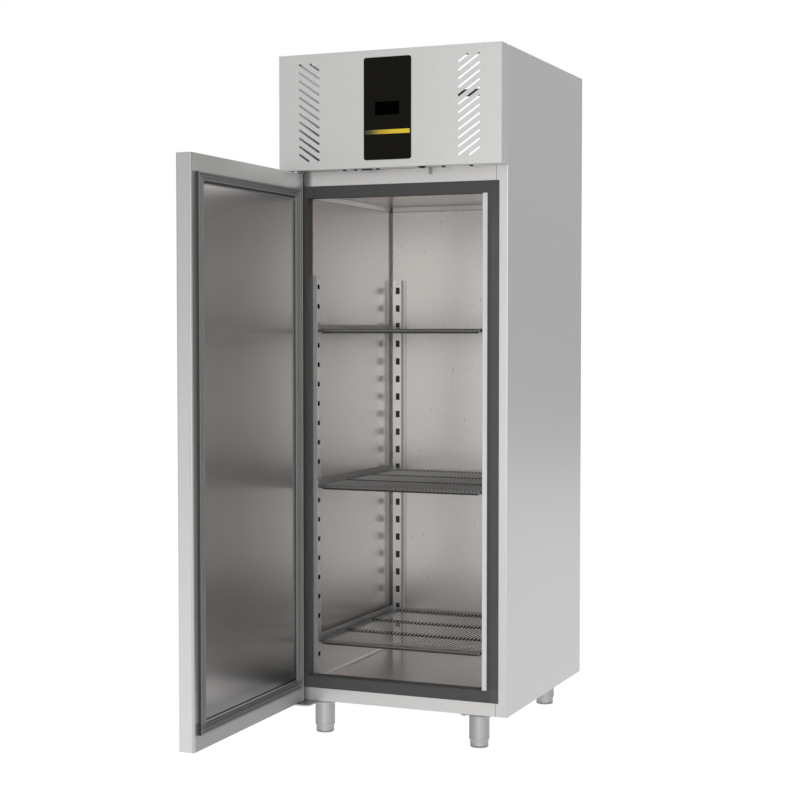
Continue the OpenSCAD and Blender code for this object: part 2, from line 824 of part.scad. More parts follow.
// The recessed grip: a moulded channel with a rim and a lip to pull on
module door_grip() {
    w = grip_w;
    d = grip_d;
    y = door_out_y;
    wall = 2;
    z0 = grip_z - grip_len / 2;
    color([0.3, 0.3, 0.31]) swung_open() difference() {
        union() {
            translate([grip_x, y, grip_z]) rotate([90, 0, 0]) linear_extrude(1.2)
                round_rect(w + 12, grip_len + 12, 6);
            translate([grip_x - w / 2, y - eps, z0]) cube([w, d, grip_len]);
        }
        translate([0, 0, z0 + wall]) linear_extrude(grip_len - 2 * wall) polygon([
            [grip_x - w / 2 + wall, y - 3], [grip_x + w / 2 - wall - 8, y - 3],
            [grip_x + w / 2 - wall - 8, y + 5], [grip_x + w / 2 - wall, y + 8],
            [grip_x + w / 2 - wall, y + d - wall - 4], [grip_x + w / 2 - wall - 4, y + d - wall],
            [grip_x - w / 2 + wall + 10, y + d - wall]
        ]);
    }
}

// The plain bearing bushes pressed into the door's hinge corners
module door_bushes() {
    color([0.25, 0.25, 0.26]) swung_open() for (z = [door_lo, door_hi - bush_len])
        translate([hinge_x, hinge_y, z]) difference() {
            cylinder(h = bush_len, d = pin_d + 8);
            translate([0, 0, -1]) cylinder(h = bush_len + 2, d = pin_d + 2 * run_gap);
        }
}

// Service panel

// One slanted vent of the right group, cut short where it meets the group's top or bottom
module vent(i) {
    drop = vent_run * tan(vent_angle);
    high = vent_top - i * vent_pitch;
    x1 = hw - vent_edge - vent_w / 2;
    t0 = max(0, (high - vent_top) / drop);
    t1 = min(1, (high - vent_low) / drop);
    if (t1 - t0 > 0.12)
        slot_2d([x1 - t0 * vent_run, high - t0 * drop], [x1 - t1 * vent_run, high - t1 * drop], vent_w);
}

module vents_2d() {
    rows = floor((vent_top - vent_low) / vent_pitch);
    for (i = [-1 : rows]) {
        vent(i);
        mirror([1, 0]) vent(i);
    }
}

// The folded front panel with its returns, hinge ears and slanted vents
module service_panel() {
    t = skin_t;
    lo = deck_z;
    hi = body_top;
    turn_r = panel_rear - panel_pivot_y;
    top_rear = panel_pivot_y + sqrt(pow(turn_r, 2) - pow(hi - panel_pivot_z, 2));
    color([0.79, 0.79, 0.78]) {
        upright_plate(panel_y, panel_y + t) difference() {
            translate([-hw, lo]) square([2 * hw, hi - lo]);
            vents_2d();
        }
        // The top return stops short at its ends, where the hinge arms stand
        lip_x = hw - 40;
        block([-hw, panel_y, hi - t], [hw, panel_pivot_y - 4, hi]);
        block([-lip_x, panel_y, hi - t], [lip_x, top_rear, hi]);
        block([-lip_x, top_rear - t, hi - 23], [lip_x, top_rear, hi]);
        // The bottom return, with its punched holes and the slot of the catch
        difference() {
            block([-hw, panel_y, lo], [hw, panel_rear - 2, lo + t]);
            for (x = [-152, -116, -45, 162, 247])
                translate([x, panel_y + 34, lo - 1]) cylinder(h = t + 2, d = 10, $fn = 24);
            translate([0, 0, lo - 1]) linear_extrude(t + 2)
                slot_2d([-92, panel_y + 34], [-67, panel_y + 34], 10);
        }
        for (s = [-1, 1]) mirror([s < 0 ? 1 : 0, 0, 0]) {
            side_plate(hw - t, hw) difference() {
                union() {
                    translate([panel_y, lo]) square([panel_rear - panel_y, panel_pivot_z - lo]);
                    translate([panel_y, lo]) square([panel_pivot_y - panel_y, hi - lo]);
                    intersection() {
                        translate([panel_pivot_y, panel_pivot_z]) circle(turn_r);
                        translate([panel_pivot_y, lo]) square([turn_r + 1, hi - lo]);
                    }
                }
                translate([panel_pivot_y, panel_pivot_z]) circle(d = panel_pin_d + 2 * run_gap);
            }
            translate([hw - t, panel_pivot_y, panel_pivot_z]) rotate([0, -90, 0]) difference() {
                cylinder(h = 6, d = panel_pin_d + 8);
                translate([0, 0, -1]) cylinder(h = 8, d = panel_pin_d + 2 * run_gap);
            }
        }
    }
}

// The fixed brackets whose pins carry the service panel
module panel_hinges() {
    color([0.55, 0.55, 0.54]) for (s = [-1, 1]) mirror([s < 0 ? 1 : 0, 0, 0]) {
        x0 = hw - 20;
        block([stile_x + 2, front - 1.5, panel_pivot_z - 20], [x0 + 3, front, panel_pivot_z + 8]);
        side_plate(x0, x0 + 3) union() {
            translate([panel_pivot_y, panel_pivot_z - 6]) square([front - panel_pivot_y, 12]);
            translate([panel_pivot_y, panel_pivot_z]) circle(6);
        }
        translate([x0, panel_pivot_y, panel_pivot_z]) rotate([0, 90, 0])
            cylinder(h = hw - skin_t / 2 - x0, d = panel_pin_d);
    }
}

// The black control overlay, with a pocket for the display
module control_overlay() {
    h = overlay_hi - overlay_lo;
    color([0.1, 0.1, 0.09]) difference() {
        translate([0, 0, overlay_lo + h / 2]) upright_plate(panel_y - overlay_t, panel_y)
            round_rect(overlay_w, h, overlay_r);
        block(
            [-display_w / 2, panel_y - overlay_t - 1, display_z - display_h / 2],
            [display_w / 2, panel_y - overlay_t + 1, display_z + display_h / 2]
        );
    }
}

module display_window() {
    color([0.05, 0.05, 0.06]) block(
        [-display_w / 2, panel_y - overlay_t + 0.2, display_z - display_h / 2],
        [display_w / 2, panel_y - overlay_t + 1, display_z + display_h / 2]
    );
}

// The controller's case behind the overlay
module controller() {
    y0 = panel_y + skin_t;
    z0 = display_z - 60;
    color([0.2, 0.2, 0.21]) {
        block([-55, y0, z0], [55, y0 + 34, z0 + 120]);
        block([-65, y0, z0 + 20], [65, y0 + 4, z0 + 34]);
        block([-65, y0, z0 + 86], [65, y0 + 4, z0 + 100]);
    }
}

// Cooling unit

// The condenser: a fin pack between two end plates, with its return bends
module condenser() {
    x0 = cond_x - cond_w / 2;
    z0 = deck_z + 8;
    fin_gap = cond_w / cond_fins;
    rows = floor(cond_h / 25) - 1;
    color([0.75, 0.76, 0.77]) {
        for (i = [0 : cond_fins])
            translate([x0 + i * fin_gap - 0.3, cond_y, z0]) cube([0.6, cond_d, cond_h]);
        for (s = [0, 1])
            translate([x0 + s * (cond_w + 2) - 2, cond_y - 2, deck_z]) cube([2, cond_d + 4, cond_h + 12]);
        for (row = [0 : rows], col = [0, 1])
            translate([x0 - 6, cond_y + cond_d * (0.28 + 0.44 * col), z0 + 22 + row * 25])
                rotate([0, 90, 0]) cylinder(h = cond_w + 12, d = 9);
    }
}

// The shroud that guides the air from the fins to the fan
module fan_shroud() {
    x0 = cond_x - cond_w / 2;
    y0 = cond_y + cond_d + 2;
    z0 = deck_z;
    h = cond_h + 12;
    color([0.5, 0.5, 0.5]) difference() {
        union() {
            block([x0 - 2, y0, z0], [x0 + cond_w + 2, y0 + 12, z0 + h]);
            translate([cond_x, y0 + 40, fan_z]) rotate([90, 0, 0]) cylinder(h = 30, d = fan_d + 12);
        }
        block([x0 + 2, y0 - 1, z0 + 6], [x0 + cond_w - 2, y0 + 10, z0 + h - 6]);
        translate([cond_x, y0 + 60, fan_z]) rotate([90, 0, 0]) cylinder(h = 60, d = fan_d + 8);
    }
}

// The fan motor on its three-armed bracket behind the shroud
module condenser_fan_motor() {
    y = cond_y + cond_d + 42;
    reach = fan_d / 2 + 6;
    color([0.2, 0.2, 0.21]) translate([cond_x, y, fan_z]) rotate([-90, 0, 0]) {
        difference() {
            cylinder(h = 46, d = 74);
            translate([0, 0, -1]) cylinder(h = 12, d = 8 + 2 * run_gap);
        }
        for (a = [90, 210, 330]) rotate([0, 0, a])
            translate([30, -6, 0]) cube([reach - 30, 12, 3]);
    }
}

// A bladed rotor about the Y axis with its shaft towards +Y
module rotor(d, hub, blades, depth, shaft) {
    rotate([-90, 0, 0]) {
        cylinder(h = depth, d = hub);
        cylinder(h = depth + shaft, d = 8);
        for (k = [0 : blades - 1]) rotate([0, 0, k * 360 / blades])
            translate([hub / 2 - 2, 0, depth / 2]) rotate([32, 0, 0])
                translate([0, -(d - hub) * 0.15, -0.8])
                    cube([(d - hub) / 2 - 2, (d - hub) * 0.3, 1.6]);
    }
}

module condenser_fan() {
    color([0.6, 0.62, 0.64]) translate([cond_x, fan_y - 10, fan_z])
        rotor(fan_d, 60, 5, 24, cond_y + cond_d + 42 - fan_y - 14 + 9);
}

// The compressor: a pressed hermetic shell with its base and terminal cover
module compressor() {
    r = comp_d / 2;
    h = comp_h;
    color([0.13, 0.13, 0.14]) translate([comp_x, comp_y, comp_z]) {
        rotate_extrude() {
            square([r * 0.55, 14]);
            translate([0, 12]) square([r - 22, 24]);
            translate([r - 24, 36]) circle(24);
            translate([0, 36]) square([r, h * 0.4 - 36]);
            translate([0, h * 0.4]) square([r + 4, 6]);
            translate([0, h * 0.4]) square([r - 3, h * 0.6 - 30]);
            translate([r - 33, h - 30]) circle(30);
            translate([0, h - 34]) square([r - 33, 34]);
        }
        translate([-r * 0.9, -r * 0.72, 0]) cube([r * 1.8, r * 1.44, 3]);
        translate([r - 8, -28, h * 0.2]) cube([30, 56, 60]);
        // Pipe stubs
        rod([0, -r + 20, 60], [0, -r - 8, 60], pipe_d + 4);
        rod([r * 0.6, 50, 110], [r + 4, 50, 110], pipe_d + 8);
    }
}

// The rubber grommets that the compressor stands on
module compressor_mounts() {
    r = comp_d / 2;
    color([0.16, 0.16, 0.16]) for (sx = [-1, 1], sy = [-1, 1])
        translate([comp_x + sx * (r * 0.9 - 14), comp_y + sy * (r * 0.72 - 14), deck_z]) {
            cylinder(h = comp_z - deck_z, d = 24);
            translate([0, 0, 6]) cylinder(h = 6, d = 28);
        }
}

// The copper filter drier between the condenser and the capillary
module filter_drier() {
    color([0.72, 0.45, 0.3]) translate([drier_x, drier_y, drier_z]) rotate([0, 90, 0])
        rotate_extrude() polygon([
            [0, 0], [4, 0], [4, 12], [13, 24], [13, 96], [4, 108], [4, 120], [0, 120]
        ]);
}
// A tube through a list of points, all at right angles, with a bend of radius r at each corner
module tube_run(p, d, r) {
    last = len(p) - 1;
    for (i = [0 : last - 1]) {
        u = (p[i + 1] - p[i]) / norm(p[i + 1] - p[i]);
        rod(p[i] + (i > 0 ? r : 0) * u, p[i + 1] - (i + 1 < last ? r : 0) * u, d);
    }
    for (i = [1 : last - 1]) {
        u = (p[i] - p[i - 1]) / norm(p[i] - p[i - 1]);
        v = (p[i + 1] - p[i]) / norm(p[i + 1] - p[i]);
        w = cross(-v, u);
        c = p[i] + r * (v - u);
        multmatrix([
            [-v[0], u[0], w[0], c[0]], [-v[1], u[1], w[1], c[1]],
            [-v[2], u[2], w[2], c[2]], [0, 0, 0, 1]
        ]) rotate_extrude(angle = 90) translate([r, 0]) circle(d = d);
    }
}

// The refrigerant lines between the compressor, condenser, drier and evaporator housing
module pipework() {
    z = drier_z;
    r = 20;
    cond_end = cond_x - cond_w / 2 - 6;
    cond_mid = cond_y + cond_d * 0.28;
    evap_left = evap_x - evap_w / 2;
    color([0.72, 0.45, 0.3]) {
        // Hot line from the compressor to the top of the condenser
        tube_run([
            [comp_x, comp_y - comp_d / 2 - 8, comp_z + 60], [comp_x, cond_mid, comp_z + 60],
            [comp_x, cond_mid, deck_z + 230], [cond_end, cond_mid, deck_z + 230]
        ], pipe_d, 12);
        // Liquid line from the foot of the condenser to the drier
        tube_run([
            [cond_end, cond_mid, z], [comp_x, cond_mid, z],
            [comp_x, drier_y, z], [drier_x, drier_y, z]
        ], pipe_d, 12);
        // Liquid line from the drier to the evaporator housing
        tube_run([
            [drier_x + 120, drier_y, z], [evap_left - 40, drier_y, z],
            [evap_left - 40, evap_y - 60, z], [evap_left, evap_y - 60, z]
        ], pipe_d - 2, r);
        // Cold line from the evaporator housing back to the compressor
        tube_run([
            [evap_left, comp_y + 50, z], [comp_x + comp_d / 2 + 44, comp_y + 50, z],
            [comp_x + comp_d / 2 + 44, comp_y + 50, comp_z + 110],
            [comp_x + comp_d / 2 + 4, comp_y + 50, comp_z + 110]
        ], pipe_d + 4, r);
    }
}

// The insulated housing that stands over the air ways
module evaporator_housing() {
    color([0.74, 0.74, 0.73]) difference() {
        translate([evap_x - evap_w / 2, evap_y - evap_l / 2, deck_z]) cube([evap_w, evap_l, evap_h]);
        block(
            [evap_x - evap_w / 2 + evap_wall, evap_in_y, deck_z - 1],
            [evap_x + evap_w / 2 - evap_wall, evap_y + evap_l / 2 - evap_wall, deck_z + evap_h - evap_wall]
        );
    }
}

// The evaporator: a finned coil over the return air way
module evaporator_coil() {
    x0 = evap_x - evap_w / 2 + evap_wall;
    x1 = evap_x + evap_w / 2 - evap_wall;
    y0 = evap_in_y + 14;
    fins = 22;
    pitch = (x1 - x0 - 16) / fins;
    z0 = deck_z + 40;
    color([0.78, 0.8, 0.82]) {
        for (i = [0 : fins])
            translate([x0 + 8 + i * pitch - 0.3, y0, z0]) cube([0.6, 120, 120]);
        for (row = [0 : 3], col = [0 : 3])
            translate([x0, y0 + 15 + col * 30, z0 + 15 + row * 30])
                rotate([0, 90, 0]) cylinder(h = x1 - x0, d = 9);
    }
}

// The plate that carries the evaporator fan and its motor
module evaporator_fan_plate() {
    x0 = evap_x - evap_w / 2 + evap_wall;
    x1 = evap_x + evap_w / 2 - evap_wall;
    z1 = deck_z + evap_h - evap_wall;
    cz = deck_z + 104;
    color([0.85, 0.85, 0.84]) {
        difference() {
            block([x0, evap_fan_y, deck_z], [x1, evap_fan_y + 3, z1]);
            translate([evap_x, evap_fan_y + 10, cz]) rotate([90, 0, 0]) cylinder(h = 20, d = 128);
        }
        translate([evap_x, evap_fan_y + 34, cz]) rotate([-90, 0, 0]) difference() {
            cylinder(h = 30, d = 50);
            translate([0, 0, -1]) cylinder(h = 12, d = 8 + 2 * run_gap);
        }
        for (a = [0, 180]) translate([evap_x, evap_fan_y, cz]) rotate([0, a, 0]) {
            translate([22, 34, -5]) cube([x1 - evap_x - 22, 3, 10]);
            translate([x1 - evap_x - 3, 0, -5]) cube([3, 37, 10]);
        }
    }
}

module evaporator_fan() {
    color([0.3, 0.3, 0.31]) translate([evap_x, evap_fan_y + 6, deck_z + 104])
        rotor(122, 40, 5, 20, 17);
}

// The heated tray in which the melt water boils away
module condensate_tray() {
    x0 = -hw + 20;
    x1 = cond_x - cond_w / 2 - 50;
    y0 = cond_y + 70;
    y1 = comp_y - comp_d / 2 - 40;
    color([0.25, 0.25, 0.26]) difference() {
        block([x0, y0, deck_z], [x1, y1, deck_z + 30]);
        block([x0 + 2, y0 + 2, deck_z + 2], [x1 - 2, y1 - 2, deck_z + 31]);
    }
}

// The box that holds the relays and terminals, with its lid and a gland
module electrical_box() {
    x1 = hw - skin_t;
    y0 = front + 90;
    color([0.85, 0.85, 0.83]) {
        block([x1 - 84, y0, deck_z], [x1, y0 + 140, deck_z + 90]);
        block([x1 - 86, y0 - 2, deck_z + 90], [x1, y0 + 142, deck_z + 94]);
        translate([x1 - 42, y0 + 140, deck_z + 40]) rotate([-90, 0, 0]) {
            cylinder(h = 8, d = 26, $fn = 6);
            cylinder(h = 16, d = 18);
        }
    }
}

// The inlet at the compartment's rear edge. Nothing hangs from it.
module power_inlet() {
    x = -hw + 60;
    y = back - skin_t;
    color([0.12, 0.12, 0.13]) difference() {
        union() {
            block([x - 26, y - 34, deck_z], [x + 26, y - 4, deck_z + 44]);
            block([x - 30, y - 4, deck_z], [x + 30, y, deck_z + 50]);
        }
        translate([x, y - 20, deck_z + 25]) rotate([-90, 0, 0]) linear_extrude(40) round_rect(28, 20, 4);
    }
}

side_panel_left();
side_panel_right();
rear_panel();
base_panel();
top_rail();
bottom_rail();
insulation();
cell_liner();
breaker_frame();
light_strip();
air_duct_panel();
duct_stays();
top_deck();
rear_cross_rail();
rack_front_left();
rack_front_right();
rack_rear_left();
rack_rear_right();
runner_upper_left();
runner_upper_right();
runner_middle_left();
runner_middle_right();
runner_lower_left();
runner_lower_right();
shelf_upper();
shelf_middle();
shelf_lower();
upper_hinge();
lower_hinge();
foot_sleeves();
foot_front_left();
foot_front_right();
foot_rear_left();
foot_rear_right();
door_skin_panel();
door_inner_panel();
door_foam();
door_gasket();
door_grip();
door_bushes();
service_panel();
control_overlay();
display_window();
controller();
panel_hinges();
condenser();
fan_shroud();
condenser_fan_motor();
condenser_fan();
compressor();
compressor_mounts();
filter_drier();
pipework();
evaporator_housing();
evaporator_coil();
evaporator_fan_plate();
evaporator_fan();
condensate_tray();
electrical_box();
power_inlet();
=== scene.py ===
import math

import bmesh
import bpy
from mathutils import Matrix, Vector


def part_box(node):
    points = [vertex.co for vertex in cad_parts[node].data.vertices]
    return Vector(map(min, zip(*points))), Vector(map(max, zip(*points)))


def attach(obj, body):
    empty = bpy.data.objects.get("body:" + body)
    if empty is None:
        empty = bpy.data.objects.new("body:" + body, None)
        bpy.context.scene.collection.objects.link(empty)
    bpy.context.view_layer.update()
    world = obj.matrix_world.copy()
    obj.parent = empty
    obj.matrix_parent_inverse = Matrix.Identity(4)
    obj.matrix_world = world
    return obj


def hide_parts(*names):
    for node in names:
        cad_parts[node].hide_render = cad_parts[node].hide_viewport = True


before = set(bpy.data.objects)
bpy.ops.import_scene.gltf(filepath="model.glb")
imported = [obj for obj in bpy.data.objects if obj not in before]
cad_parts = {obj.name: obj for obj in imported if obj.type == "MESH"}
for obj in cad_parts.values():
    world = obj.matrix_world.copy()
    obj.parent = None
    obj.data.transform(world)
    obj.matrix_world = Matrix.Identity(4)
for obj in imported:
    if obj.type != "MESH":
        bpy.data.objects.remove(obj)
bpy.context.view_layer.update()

# Main planes of the cabinet in metres, as the solids have them
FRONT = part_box("top_rail")[0][1]
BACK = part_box("rear_panel")[1][1]
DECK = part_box("top_deck")[1][2]
FLAP_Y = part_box("service_panel")[0][1]
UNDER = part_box("base_panel")[0][2]


def middle(box, axis):
    return (box[0][axis] + box[1][axis]) / 2


# Camera: the place, turn and focal length that the picture's perspective gives
camera_data = bpy.data.cameras.new("camera")
camera_data.sensor_width = 36.0
camera_data.lens = 76.165
camera_data.clip_end = 60.0
camera = bpy.data.objects.new("camera", camera_data)
camera.location = (1.9369, -4.9639, 1.2260)
camera.rotation_euler = (math.pi / 2 - 0.042, 0.0, 0.396)
bpy.context.collection.objects.link(camera)
bpy.context.scene.camera = camera
bpy.context.scene.view_settings.view_transform = "Standard"


# Node helpers
def new_material(name):
    mat = bpy.data.materials.new(name)
    mat.use_nodes = True
    nodes = mat.node_tree.nodes
    return mat, nodes, mat.node_tree.links, nodes["Principled BSDF"]


def grey(level):
    return (level, level, level)


def shade(colour, factor):
    return tuple(min(1.0, c * factor) for c in colour)


def math_node(nodes, links, operation, *values):
    """A Math node whose inputs are numbers or the sockets that feed them."""
    node = nodes.new("ShaderNodeMath")
    node.operation = operation
    for socket, value in zip(node.inputs, values):
        if isinstance(value, bpy.types.NodeSocket):
            links.new(value, socket)
        else:
            socket.default_value = value
    return node.outputs[0]


def noise(nodes, links, scale, stretch, detail, rough, seed):
    coord = nodes.new("ShaderNodeTexCoord")
    mapping = nodes.new("ShaderNodeMapping")
    mapping.inputs["Scale"].default_value = stretch
    mapping.inputs["Location"].default_value = (seed, seed * 0.7, seed * 1.3)
    tex = nodes.new("ShaderNodeTexNoise")
    tex.inputs["Scale"].default_value = scale
    tex.inputs["Detail"].default_value = detail
    tex.inputs["Roughness"].default_value = rough
    links.new(coord.outputs["Object"], mapping.inputs["Vector"])
    links.new(mapping.outputs["Vector"], tex.inputs["Vector"])
    return tex.outputs["Fac"]


# The range in which most values of a noise lie
NOISE_LOW, NOISE_HIGH = 0.3, 0.7


def remap(nodes, links, value, low, high, start=NOISE_LOW, end=NOISE_HIGH):
    node = nodes.new("ShaderNodeMapRange")
    node.inputs["From Min"].default_value = start
    node.inputs["From Max"].default_value = end
    node.inputs["To Min"].default_value = low
    node.inputs["To Max"].default_value = high
    links.new(value, node.inputs["Value"])
    return node.outputs["Result"]


def ramp_through(nodes, links, value, stops):
    """A colour ramp through (position, colour) stops: the first two are its ends."""
    ramp = nodes.new("ShaderNodeValToRGB")
    points = ramp.color_ramp.elements
    for point, (place, colour) in zip(points, stops[:2]):
        point.position = place
        point.color = (*colour, 1)
    for place, colour in stops[2:]:
        points.new(place).color = (*colour, 1)
    links.new(value, ramp.inputs["Fac"])
    return ramp.outputs["Color"]


SKIN = 0.0002  # height of the grain in a surface, in metres


def bump(nodes, links, shader, value, strength):
    node = nodes.new("ShaderNodeBump")
    node.inputs["Strength"].default_value = strength
    node.inputs["Distance"].default_value = SKIN
    links.new(value, node.inputs["Height"])
    links.new(node.outputs["Normal"], shader.inputs["Normal"])


def object_xyz(nodes, links):
    """The object coordinates, which are metres in the shared frame."""
    split = nodes.new("ShaderNodeSeparateXYZ")
    links.new(nodes.new("ShaderNodeTexCoord").outputs["Object"], split.inputs["Vector"])
    return split.outputs


def within(nodes, links, places):
    """1 inside a box of object coordinates and 0 outside.
    The box is (axis, centre, half) triples, with AX for the same range of X on both sides."""
    xyz = object_xyz(nodes, links)
    result = None
    for axis, centre, half in places:
        value = xyz[axis[-1]]
        if axis == "AX":
            value = math_node(nodes, links, "ABSOLUTE", value)
        test = math_node(nodes, links, "COMPARE", value, centre, half)
        result = test if result is None else math_node(nodes, links, "MULTIPLY", result, test)
    return result


def along(nodes, links, axis, start, end, low, high):
    """A value that goes from low to high between two object coordinates on one axis."""
    return remap(nodes, links, object_xyz(nodes, links)[axis], low, high, start, end)


def facing(nodes, links, vector, direction):
    """How far a vector points one way: 0 against it, 1 along it."""
    node = nodes.new("ShaderNodeVectorMath")
    node.operation = "DOT_PRODUCT"
    node.inputs[1].default_value = direction
    links.new(vector, node.inputs[0])
    return remap(nodes, links, node.outputs["Value"], 0.0, 1.0, -1.0, 1.0)


def tone(mat, places, colour=grey(0.004), amount=1.0, ramp=None):
    """A dull tone over a material inside a box: mostly painted shade, such as the dark in a rack's hollow or
    a soft shade, but also a painted highlight or a dark seam.
    With ramp = (axis, start, end) it grows from nothing to its full amount on the way."""
    nodes, links = mat.node_tree.nodes, mat.node_tree.links
    out = nodes["Material Output"]
    before = out.inputs["Surface"].links[0].from_socket
    dull = nodes.new("ShaderNodeBsdfDiffuse")
    dull.inputs["Color"].default_value = (*colour, 1)
    if ramp:
        amount = along(nodes, links, *ramp, 0.0, amount)
    mix = nodes.new("ShaderNodeMixShader")
    links.new(math_node(nodes, links, "MULTIPLY", within(nodes, links, places), amount), mix.inputs["Fac"])
    links.new(before, mix.inputs[1])
    links.new(dull.outputs[0], mix.inputs[2])
    links.new(mix.outputs[0], out.inputs["Surface"])


def scale_base(mat, factor):
    """The base colour times a factor, which is a socket."""
    nodes, links = mat.node_tree.nodes, mat.node_tree.links
    base = nodes["Principled BSDF"].inputs["Base Color"]
    times = nodes.new("ShaderNodeVectorMath")
    times.operation = "SCALE"
    links.new(base.links[0].from_socket, times.inputs[0])
    links.new(factor, times.inputs["Scale"])
    links.new(times.outputs["Vector"], base)


def grade(mat, axis, start, end, low, high):
    """Painted light and shade: a base colour that changes slowly along one axis, by a factor from low to
    high.
    """
    scale_base(mat, along(mat.node_tree.nodes, mat.node_tree.links, axis, start, end, low, high))


def turned(mat, direction, stops):
    """Painted light and shade: a base colour that follows the way a surface faces.
    A stop is the part of the way from against the direction to along it, and a factor of at most 1."""
    nodes, links = mat.node_tree.nodes, mat.node_tree.links
    normal = nodes.new("ShaderNodeTexCoord").outputs["Normal"]
    way = facing(nodes, links, normal, direction)
    scale_base(mat, ramp_through(nodes, links, way, [(place, grey(factor)) for place, factor in stops]))


def surface(nodes, links, shader, tone_value, rough_value, colour, spread, rough, uneven):
    """A base colour that varies by spread, and a roughness that varies by uneven, each with its noise."""
    links.new(
        ramp_through(nodes, links, tone_value, (
            (NOISE_LOW, shade(colour, 1 - spread)), (NOISE_HIGH, shade(colour, 1 + spread)),
        )),
        shader.inputs["Base Color"],
    )
    links.new(
        remap(nodes, links, rough_value, rough * (1 - uneven), min(1.0, rough * (1 + uneven))),
        shader.inputs["Roughness"],
    )


# How a noise is stretched: not at all, or along the steel's brushing
EVEN = (1, 1, 1)
UP = (1, 1, 0.03)
ACROSS = (0.03, 1, 1)
FRONT_TO_BACK = (1, 0.03, 1)


def steel(name, colour, rough, streak=EVEN, spread=0.05, metallic=1.0, uneven=0.08, grain=0.08):
    """Satin steel: fine streaks along the brushing, a soft mottle and a faint grain."""
    mat, nodes, links, shader = new_material(name)
    streaks = noise(nodes, links, scale=260.0, stretch=streak, detail=2.0, rough=0.6, seed=1.0)
    mottle = noise(nodes, links, scale=55.0, stretch=EVEN, detail=4.0, rough=0.65, seed=3.0)
    streak_share = 0.45
    mix = math_node(
        nodes, links, "MULTIPLY_ADD", streaks, streak_share,
        math_node(nodes, links, "MULTIPLY", mottle, 1 - streak_share),
    )
    surface(nodes, links, shader, mix, mix, colour, spread, rough, uneven)
    shader.inputs["Metallic"].default_value = metallic
    bump(nodes, links, shader, streaks, grain)
    return mat


def plastic(name, colour, rough, grain=900.0, depth=0.15, spread=0.06, coat=0.0, shine=0.5):
    """Moulded plastic, rubber or paint: a fine grain in its surface and a soft change of tone."""
    mat, nodes, links, shader = new_material(name)
    cloud = noise(nodes, links, scale=24.0, stretch=EVEN, detail=4.0, rough=0.6, seed=5.0)
    skin = noise(nodes, links, scale=grain, stretch=EVEN, detail=2.0, rough=0.5, seed=7.0)
    surface(nodes, links, shader, cloud, skin, colour, spread, rough, uneven=0.15)
    shader.inputs["Specular IOR Level"].default_value = shine
    shader.inputs["Coat Weight"].default_value = coat
    shader.inputs["Coat Roughness"].default_value = 0.2
    bump(nodes, links, shader, skin, depth)
    return mat


